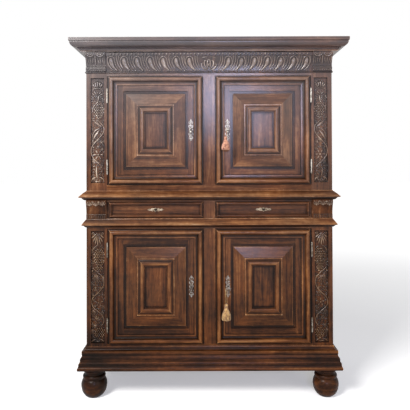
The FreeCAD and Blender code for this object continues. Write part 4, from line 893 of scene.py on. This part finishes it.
def gadroon(work, x):
    """A plump slanting gadroon with a hollow rim round it, and two reeds beside it."""
    work.stroke(
        (x, 1899, 5), (x, 1887, 13), (x - 3, 1871, 12.5), (x - 10, 1855, 9), (x - 21, 1841, 5.6),
        (x - 34, 1830, 2.4), proud=0.8, cap=9)
    work.stroke(
        (x + 8, 1846, 1.2), (x + 19, 1864, 2.2), (x + 21, 1886, 2.4), (x + 10, 1905, 2.4),
        (x - 11, 1906, 2.4), (x - 22, 1893, 2.2), (x - 23, 1873, 2.2), (x - 28, 1856, 2),
        (x - 39, 1839, 1.8), (x - 48, 1829, 1.2), cap=4.6)
    work.stroke(
        (x - 34, 1908, 1.6), (x - 34, 1888, 2.6), (x - 38, 1868, 2.6), (x - 48, 1848, 2.2),
        (x - 60, 1831, 1.4), cap=5)
    work.stroke(
        (x - 45, 1908, 1.2), (x - 45, 1888, 2), (x - 50, 1870, 1.8), (x - 59, 1852, 1.6), (x - 66, 1840, 1),
        cap=4.2)


def frieze_carving():
    """Slanting gadroons that run from both ends to a middle leaf, between two rows of pearls."""
    work = Carving("frieze_carving", front_of("frieze"), swell=1.2)
    for flip in (-1, 1):
        work.flip = flip
        for number in range(7):
            gadroon(work, FIRST_GADROON - GADROON_PITCH * number)
        work.stroke((563, 1908, 2.4), (568, 1884, 4), (562, 1860, 3.6), (546, 1838, 2.4), (536, 1831, 1.4))
        # Half of the middle leaf
        work.stroke((3, 1836, 1.6), (10, 1856, 3.8), (8, 1878, 4.4), (3, 1890, 1.8))
        work.stroke((6, 1834, 1.6), (22, 1850, 3.6), (27, 1872, 3.8), (20, 1886, 3), (12, 1880, 2))
        work.stroke((8, 1832, 1.6), (30, 1838, 3.6), (42, 1854, 3.6), (41, 1868, 2.8), (34, 1870, 1.8))
        work.bead(35, 1858, 3.4)
        work.stroke((6, 1902, 1.2), (22, 1904, 2.6), (38, 1896, 1.6))
    work.bead(0, 1860, 5.5, 1.8)
    for number in range(-28, 29):
        work.bead(number * PEARL_PITCH, 1918, 4.6)
        work.bead(number * PEARL_PITCH, 1829, 2.8)
    work.finish(carved_gadroons)


def frieze_block_carving(side, flip):
    """Swags and reeds on the block beside the frieze."""
    blocks = front_of("frieze_corner_blocks")
    work = Carving(side + "_frieze_block_carving", blocks, flip * BLOCK_MIDDLE, -flip)
    for middle in (-27, 27):
        work.stroke(
            (middle - 24, 1923, 1.6), (middle - 20, 1911, 3.4), (middle, 1903, 4.4), (middle + 20, 1911, 3.4),
            (middle + 24, 1923, 1.6), cap=5.4)
        work.stroke(
            (middle - 15, 1922, 1.2), (middle - 11, 1915, 2.2), (middle, 1911, 2.8), (middle + 11, 1915, 2.2),
            (middle + 15, 1922, 1.2), cap=4.4)
        for out in (-16, 0, 16):
            work.stroke(
                (middle + out, 1900, 1), (middle + out * 0.8, 1886, 2.4), (middle + out * 0.5, 1866, 1))
    work.stroke((0, 1922, 2.2), (0, 1902, 3.6), (0, 1880, 3.2), (0, 1862, 1.4))
    work.pair((50, 1920, 1.4), (50, 1895, 2.6), (47, 1864, 1.2))
    for height, width in ((1855, 2.6), (1847, 2.2), (1838, 2.6)):
        work.stroke((-53, height, width), (0, height, width), (53, height, width), cap=3.2)
    for number in range(-4, 5):
        work.bead(number * 12.4, 1829.5, 3)
    work.finish(carved_gadroons)


def drawer_block_carving(side, flip):
    """Leaves at the head and small flutes at the foot of the block beside the drawers."""
    blocks = front_of("drawer_corner_blocks")
    work = Carving(side + "_drawer_block_carving", blocks, flip * BLOCK_MIDDLE, -flip, swell=1.35)
    for middle in (-36, 0, 36):
        for way in (-1, 1):
            work.stroke((middle, 1072, 1.2), (middle + way * 7, 1084, 3.6), (middle + way * 13, 1097, 1.6))
            work.stroke(
                (middle + way * 3, 1074, 1.2), (middle + way * 13, 1078, 3), (middle + way * 17, 1088, 1.4))
        work.stroke((middle, 1070, 1.4), (middle, 1084, 3.4), (middle, 1099, 1.4))
    for across in (-18, 18):
        work.bead(across, 1094, 4.2)
    for across in range(-48, 49, 12):
        work.stroke((across, 1002, 2), (across, 1009, 3), (across, 1017, 1.6), cap=3.2)
    work.stroke((-53, 1021, 1.6), (0, 1021, 1.8), (53, 1021, 1.6), cap=2.6)
    work.finish(carved_lit_tips)


# Metal plates

def scrolls(plate, z, *shapes):
    """Thin scrolls, each mirrored to both sides of the keyhole, above it and below it."""
    for points in shapes:
        for up in (-1, 1):
            plate.pair(*[(across, z + up * rise, width) for across, rise, width in points], proud=1, cap=2.4)


def fit_plate(plate, keyhole, material, part):
    """The plate takes the place of the frame's plain one, and the keyhole lies on it as a dark piece of painted
    shade.
    """
    piece = plate.finish(material, part)
    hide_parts(part + "_escutcheon")
    keyhole.finish(keyhole_painted_shade, part)


def door_plate(door, mirror):
    """A pierced scroll plate round the keyhole."""
    x, z = (value / MM for value in middle_of(door + "_escutcheon"))
    back = front_of(door + "_frame")
    plate = Carving(door + "_scroll_plate", back, x, mirror)
    scrolls(
        plate, z,
        ((1, 10, 2.2), (8, 14, 2.2), (12, 21, 2), (10, 28, 1.8), (4, 29, 1.6), (3, 24, 1.4), (6, 22, 1.6)),
        ((1, 30, 1.8), (5, 35, 2), (10, 40, 1.8), (11, 46, 1.5), (7, 49, 1.4), (5, 45, 1.3)),
        ((0, 40, 1.6), (4, 50, 2), (3, 56, 1.4), (0, 61, 0.9)))
    plate.pair((2, z - 13, 2), (9, z - 6, 2.8), (9, z + 6, 2.8), (2, z + 13, 2), proud=1, cap=2.6)
    for up in (-1, 1):
        plate.stroke((0, z + up * 56, 1.6), (0, z + up * 30, 2), (0, z + up * 12, 2), proud=0.9, cap=2)
        plate.bead(0, z + up * 36, 2.6)
    plate.stroke((0, z - 11, 4.5), (0, z, 5.5), (0, z + 11, 4.5), proud=0.3, cap=1.2)
    # The keyhole is a dark piece on the plate: painted shade that stands for the hole.
    keyhole = Carving(door + "_keyhole", back, x, mirror)
    keyhole.stroke((0, z - 7, 1.6), (0, z, 1.8), proud=2.1, cap=4)
    keyhole.bead(0, z + 2.5, 3.4, cap=4.2)
    fit_plate(plate, keyhole, iron, door)


def drawer_plate(drawer):
    """A long scroll plate on the drawer, with a shield at its keyhole."""
    x, z = (value / MM for value in middle_of(drawer + "_escutcheon"))
    back = front_of(drawer + "_front")
    plate = Carving(drawer + "_scroll_plate", back, x)
    scrolls(
        plate, z,
        ((4, 7, 1.8), (10, 5, 2), (16, 7, 1.8), (22, 6, 1.6), (24, 2, 1.5), (20, 2, 1.4)),
        ((20, 0, 1.6), (28, 3, 2), (34, 5, 1.6), (39, 4, 1.4), (38, 1, 1.3)))
    plate.pair((8, z, 2.2), (26, z, 2.4), (40, z, 2), (45, z, 1), proud=1, cap=2.4)
    plate.stroke((0, z - 11, 2), (0, z - 5, 7), (0, z + 4, 7.5), (0, z + 10, 2.5), proud=0.3, cap=1.6)
    for across in (-32, 32):
        plate.bead(across, z, 2.4)
    # The keyhole is a dark piece on the plate: painted shade that stands for the hole.
    keyhole = Carving(drawer + "_keyhole", back, x)
    keyhole.stroke((0, z - 8, 2.2), (0, z, 2.6), proud=1, cap=2.6)
    keyhole.bead(0, z + 1, 8.4, 0.75, cap=3)
    fit_plate(plate, keyhole, brass, drawer)


# Tassels

BOW_OUT = 0.052
BOW_SIDE = 0.0905
CORD_THICK = 0.002
LOOP_HALF = 0.0042
# The wound head, and the bindings round it: place as a share of the tassel's length, radius and thickness
HEAD_PLACE = 0.905
HEAD_SIZE = (0.0092, 0.0092, 0.0078)
WINDINGS = 16
WINDING_RADIUS = 0.0084
WINDING_THICK = 0.0009
BINDINGS = ((0.815, 0.0072, 0.0014), (0.79, 0.0076, 0.0014), (0.765, 0.0084, 0.0014), (0.985, 0.0035, 0.0012))
# Rings of strands: a share of the skirt's radius, and how many. A skirt's pairs are shares of height and reach.
SKIRT_RADIUS = 0.0244
SKIRT_RINGS = ((1.0, 58), (0.82, 40), (0.55, 22), (0.2, 8))
UPPER_SKIRT = ((0.80, 0.24), (0.74, 0.36), (0.66, 0.46), (0.52, 0.62), (0.34, 0.82), (0.16, 1.0), (0, 0.84))
LOWER_SKIRT = ((0.80, 0.23), (0.72, 0.32), (0.62, 0.44), (0.48, 0.70), (0.32, 0.92), (0.16, 1.0), (0, 0.94))
TASSELS = {
    "upper": {"loop": 0.040, "length": 0.073, "skirt": UPPER_SKIRT, "seed": 21},
    "lower": {"loop": 0.084, "length": 0.088, "skirt": LOWER_SKIRT, "seed": 34},
}


def silk(name, light, dark):
    """Twisted floss: fine lengthwise threads, with painted shade between the strands."""
    finish = Finish(name)
    thread = finish.noise(finish.scaled((1, 1, 0.05)), 1500.0, 2.0, 0.6)
    patch = finish.noise(finish.place, 85.0, 2.0, 0.6)
    # Painted shade between the strands.
    shade_between = finish.both(finish.closed(0.004), 1.3)
    amount = finish.plus(shade_between, finish.span(thread, 0.35, 0.7, 0.0, 0.45), clamp=True)
    stained = finish.span(patch, 0.46, 0.58, 0.0, 0.85)
    finish.give(
        Base_Color=finish.mix(stained, finish.mix(amount, light, dark), dark),
        Roughness=finish.span(thread, 0.3, 0.7, 0.5, 0.75), Sheen_Weight=0.4,
        Normal=finish.relief(thread, 0.5, 0.0003))
    return finish.material


def bow_of(stage):
    """The middle of the key's bow, over which the tassel hangs."""
    return BOW_SIDE, FACE_Y - BOW_OUT, KEY_Z[stage]


def loop_cord(stage, material):
    """The cord goes up from the tassel's head, over the key's bow and down again."""
    x, y, z = bow_of(stage)
    about = TASSELS[stage]
    foot = z - about["loop"] - 0.08 * about["length"]
    bend = z - 6 * CORD_THICK
    left, right, over = x - LOOP_HALF, x + LOOP_HALF, z + LOOP_HALF
    turns = ((left, foot), (left, bend), (left, over), (right, over), (right, bend), (right, foot))
    name = stage + "_tassel_cord"
    curve = tube_curve(name, CORD_THICK / 2, 3, 8)
    smooth_tube(curve, [((across, y, up), 1.0) for across, up in turns])
    cord = bpy.data.objects.new(name, curve)
    show(cord)
    cord.data.materials.append(material)
    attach(cord, stage + "_tassel")
    return cord


def ring(place, radius, thick, around, sides, turned=(0, 0, 0)):
    bpy.ops.mesh.primitive_torus_add(
        major_radius=radius, minor_radius=thick, major_segments=around, minor_segments=sides, location=place,
        rotation=turned)
    return bpy.context.object


def wound_head(x, y, foot, length):
    """A head of wound thread, with bindings under it and at the cord."""
    middle = (x, y, foot + HEAD_PLACE * length)
    bpy.ops.mesh.primitive_uv_sphere_add(segments=24, ring_count=14, radius=1)
    head = bpy.context.object
    head.scale = HEAD_SIZE
    head.location = middle
    parts = [head]
    for share, radius, thick in BINDINGS:
        parts.append(ring((x, y, foot + share * length), radius, thick, 28, 8))
    for number in range(WINDINGS):
        turned = (math.radians(90), 0, math.pi * number / WINDINGS)
        parts.append(ring(middle, WINDING_RADIUS, WINDING_THICK, 20, 6, turned))
    return parts


def loose_strands(name, x, y, foot, about):
    """Rings of strands, each with its own sway and its own length."""
    random = Random(about["seed"])
    curve = tube_curve(name, MM, 1, 3)
    curve.use_fill_caps = True
    for share_of_radius, count in SKIRT_RINGS:
        for number in range(count):
            angle = 2 * math.pi * (number + random.uniform(-0.3, 0.3)) / count
            sway = random.uniform(-0.16, 0.16)
            drop = random.uniform(-0.012, 0.03)
            placed = []
            for share, reach in about["skirt"]:
                at_tip = share < 0.1
                turn = angle + sway * (0.8 - share)
                radius = SKIRT_RADIUS * reach * share_of_radius * (1 + random.uniform(-0.02, 0.02))
                up = foot + about["length"] * max(share + (drop if at_tip else 0.0), 0.0)
                place = (x + radius * math.cos(turn), y + radius * math.sin(turn), up)
                placed.append((place, 1.2 if at_tip else 1.5))
            smooth_tube(curve, placed)
    return curve_to_mesh(name, curve)


def tassel(stage, material):
    """A wound head with a binding, over a skirt of loose strands."""
    x, y, z = bow_of(stage)
    about = TASSELS[stage]
    foot = z - about["loop"] - about["length"]
    name = stage + "_tassel_floss"
    head = wound_head(x, y, foot, about["length"])
    piece = join_smooth([loose_strands(name, x, y, foot, about), *head])
    dress(piece, name, material, stage + "_tassel")
    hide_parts(stage + "_tassel")
    return piece


for side, flip in SIDES.items():
    upper_pilaster(side, flip)
    lower_pilaster(side, flip)
    frieze_block_carving(side, flip)
    drawer_block_carving(side, flip)
    for stage in STAGES:
        door_plate("%s_%s_door" % (stage, side), flip)
    drawer_plate(side + "_drawer")
frieze_carving()
SILKS = {
    "upper": silk("copper_silk", tint(208, 152, 120), tint(112, 54, 30)),
    "lower": silk("golden_silk", tint(196, 156, 92), tint(104, 64, 26)),
}
for stage in STAGES:
    loop_cord(stage, SILKS[stage])
    tassel(stage, SILKS[stage])


# Floor, light and camera

# How far from the middle the floor's glow begins and ends to rise, and how strong it is there
GLOW_FROM = (1.6, 6.0)
FLOOR_GLOW = (0.30, 0.70)
FLOOR_GREY = (0.9, 0.9, 0.9, 1)
ROOM_LIGHT = 0.34
# The photo's camera, with its lens and picture width in millimetres and its tilt and roll in degrees
EYE = (-0.0239, -2.9163, 1.30)
PICTURE_WIDTH = 36
LENS = 42.15
SHIFT = -0.1085
TILT = 0.5
ROLL = -0.2


def background_rays(nodes):
    """One where the background is seen directly, in a reflection or through glass."""
    rays = nodes.add("ShaderNodeLightPath").outputs
    seen = nodes.math("MAXIMUM", rays["Is Camera Ray"], rays["Is Glossy Ray"])
    return nodes.math("MAXIMUM", seen, rays["Is Transmission Ray"])


def stage_floor():
    """A pale floor that grows brighter towards the white background."""
    finish = Finish("pale_floor")
    finish.give(Base_Color=FLOOR_GREY, Roughness=0.9)
    away = finish.add("ShaderNodeVectorMath", {0: finish.place}, operation="LENGTH").outputs["Value"]
    glowing = finish.both(background_rays(finish), finish.span(away, *GLOW_FROM, *FLOOR_GLOW))
    glow = finish.add("ShaderNodeEmission", {"Strength": glowing})
    blend = finish.add("ShaderNodeAddShader", {0: finish.shader.outputs[0], 1: glow.outputs[0]})
    finish.feed(finish.tree.nodes["Material Output"].inputs["Surface"], blend.outputs[0])
    bpy.ops.mesh.primitive_plane_add(size=60, location=(0, 0, 0))
    floor = bpy.context.object
    floor.name = "floor"
    floor.data.materials.append(finish.material)


def lamp(name, place, target, size, power, colour):
    """A soft rectangular lamp that looks at a point."""
    data = bpy.data.lights.new(name, "AREA")
    data.shape = "RECTANGLE"
    data.size, data.size_y = size
    data.energy = power
    data.color = colour
    item = bpy.data.objects.new(name, data)
    item.location = place
    item.rotation_euler = (Vector(target) - Vector(place)).to_track_quat("-Z", "Y").to_euler()
    show(item)


def studio():
    """A white background, a dimmer room light that isn't seen, and three lamps."""
    world = bpy.data.worlds.new("studio")
    bpy.context.scene.world = world
    world.use_nodes = True
    nodes = Nodes(world.node_tree)
    lit = nodes.tree.nodes["Background"]
    nodes.feed(lit.inputs["Color"], WHITE)
    nodes.feed(lit.inputs["Strength"], ROOM_LIGHT)
    seen = nodes.add("ShaderNodeBackground", {"Color": WHITE, "Strength": 1.0})
    shares = {0: background_rays(nodes), 1: lit.outputs[0], 2: seen.outputs[0]}
    blend = nodes.add("ShaderNodeMixShader", shares)
    nodes.feed(nodes.tree.nodes["World Output"].inputs["Surface"], blend.outputs[0])
    lamp("key_lamp", (-2.2, -3.3, 3.7), (0, 0, 1.2), (1.5, 1.5), 270, (1, 0.98, 0.95))
    lamp("fill_lamp", (2.6, -3.4, 1.8), (0, 0, 1.0), (2.2, 2.2), 36, (1, 0.97, 0.93))
    lamp("window", (0.40, -5.2, 2.18), (0.1, -0.22, 1.6), (1.0, 0.85), 92, (0.60, 0.66, 1))


def photographers_camera():
    """The photo's camera at eye height; its frame is shifted down, so the cupboard's sides stay upright."""
    data = bpy.data.cameras.new("camera")
    data.sensor_width = PICTURE_WIDTH
    data.lens = LENS
    data.shift_y = SHIFT
    camera = bpy.data.objects.new("camera", data)
    tilt = Matrix.Rotation(math.radians(90 + TILT), 4, "X")
    roll = Matrix.Rotation(math.radians(ROLL), 4, "Z")
    camera.matrix_world = Matrix.Translation(EYE) @ tilt @ roll
    show(camera)
    bpy.context.scene.camera = camera


stage_floor()
studio()
photographers_camera()
bpy.context.scene.view_settings.view_transform = "Standard"
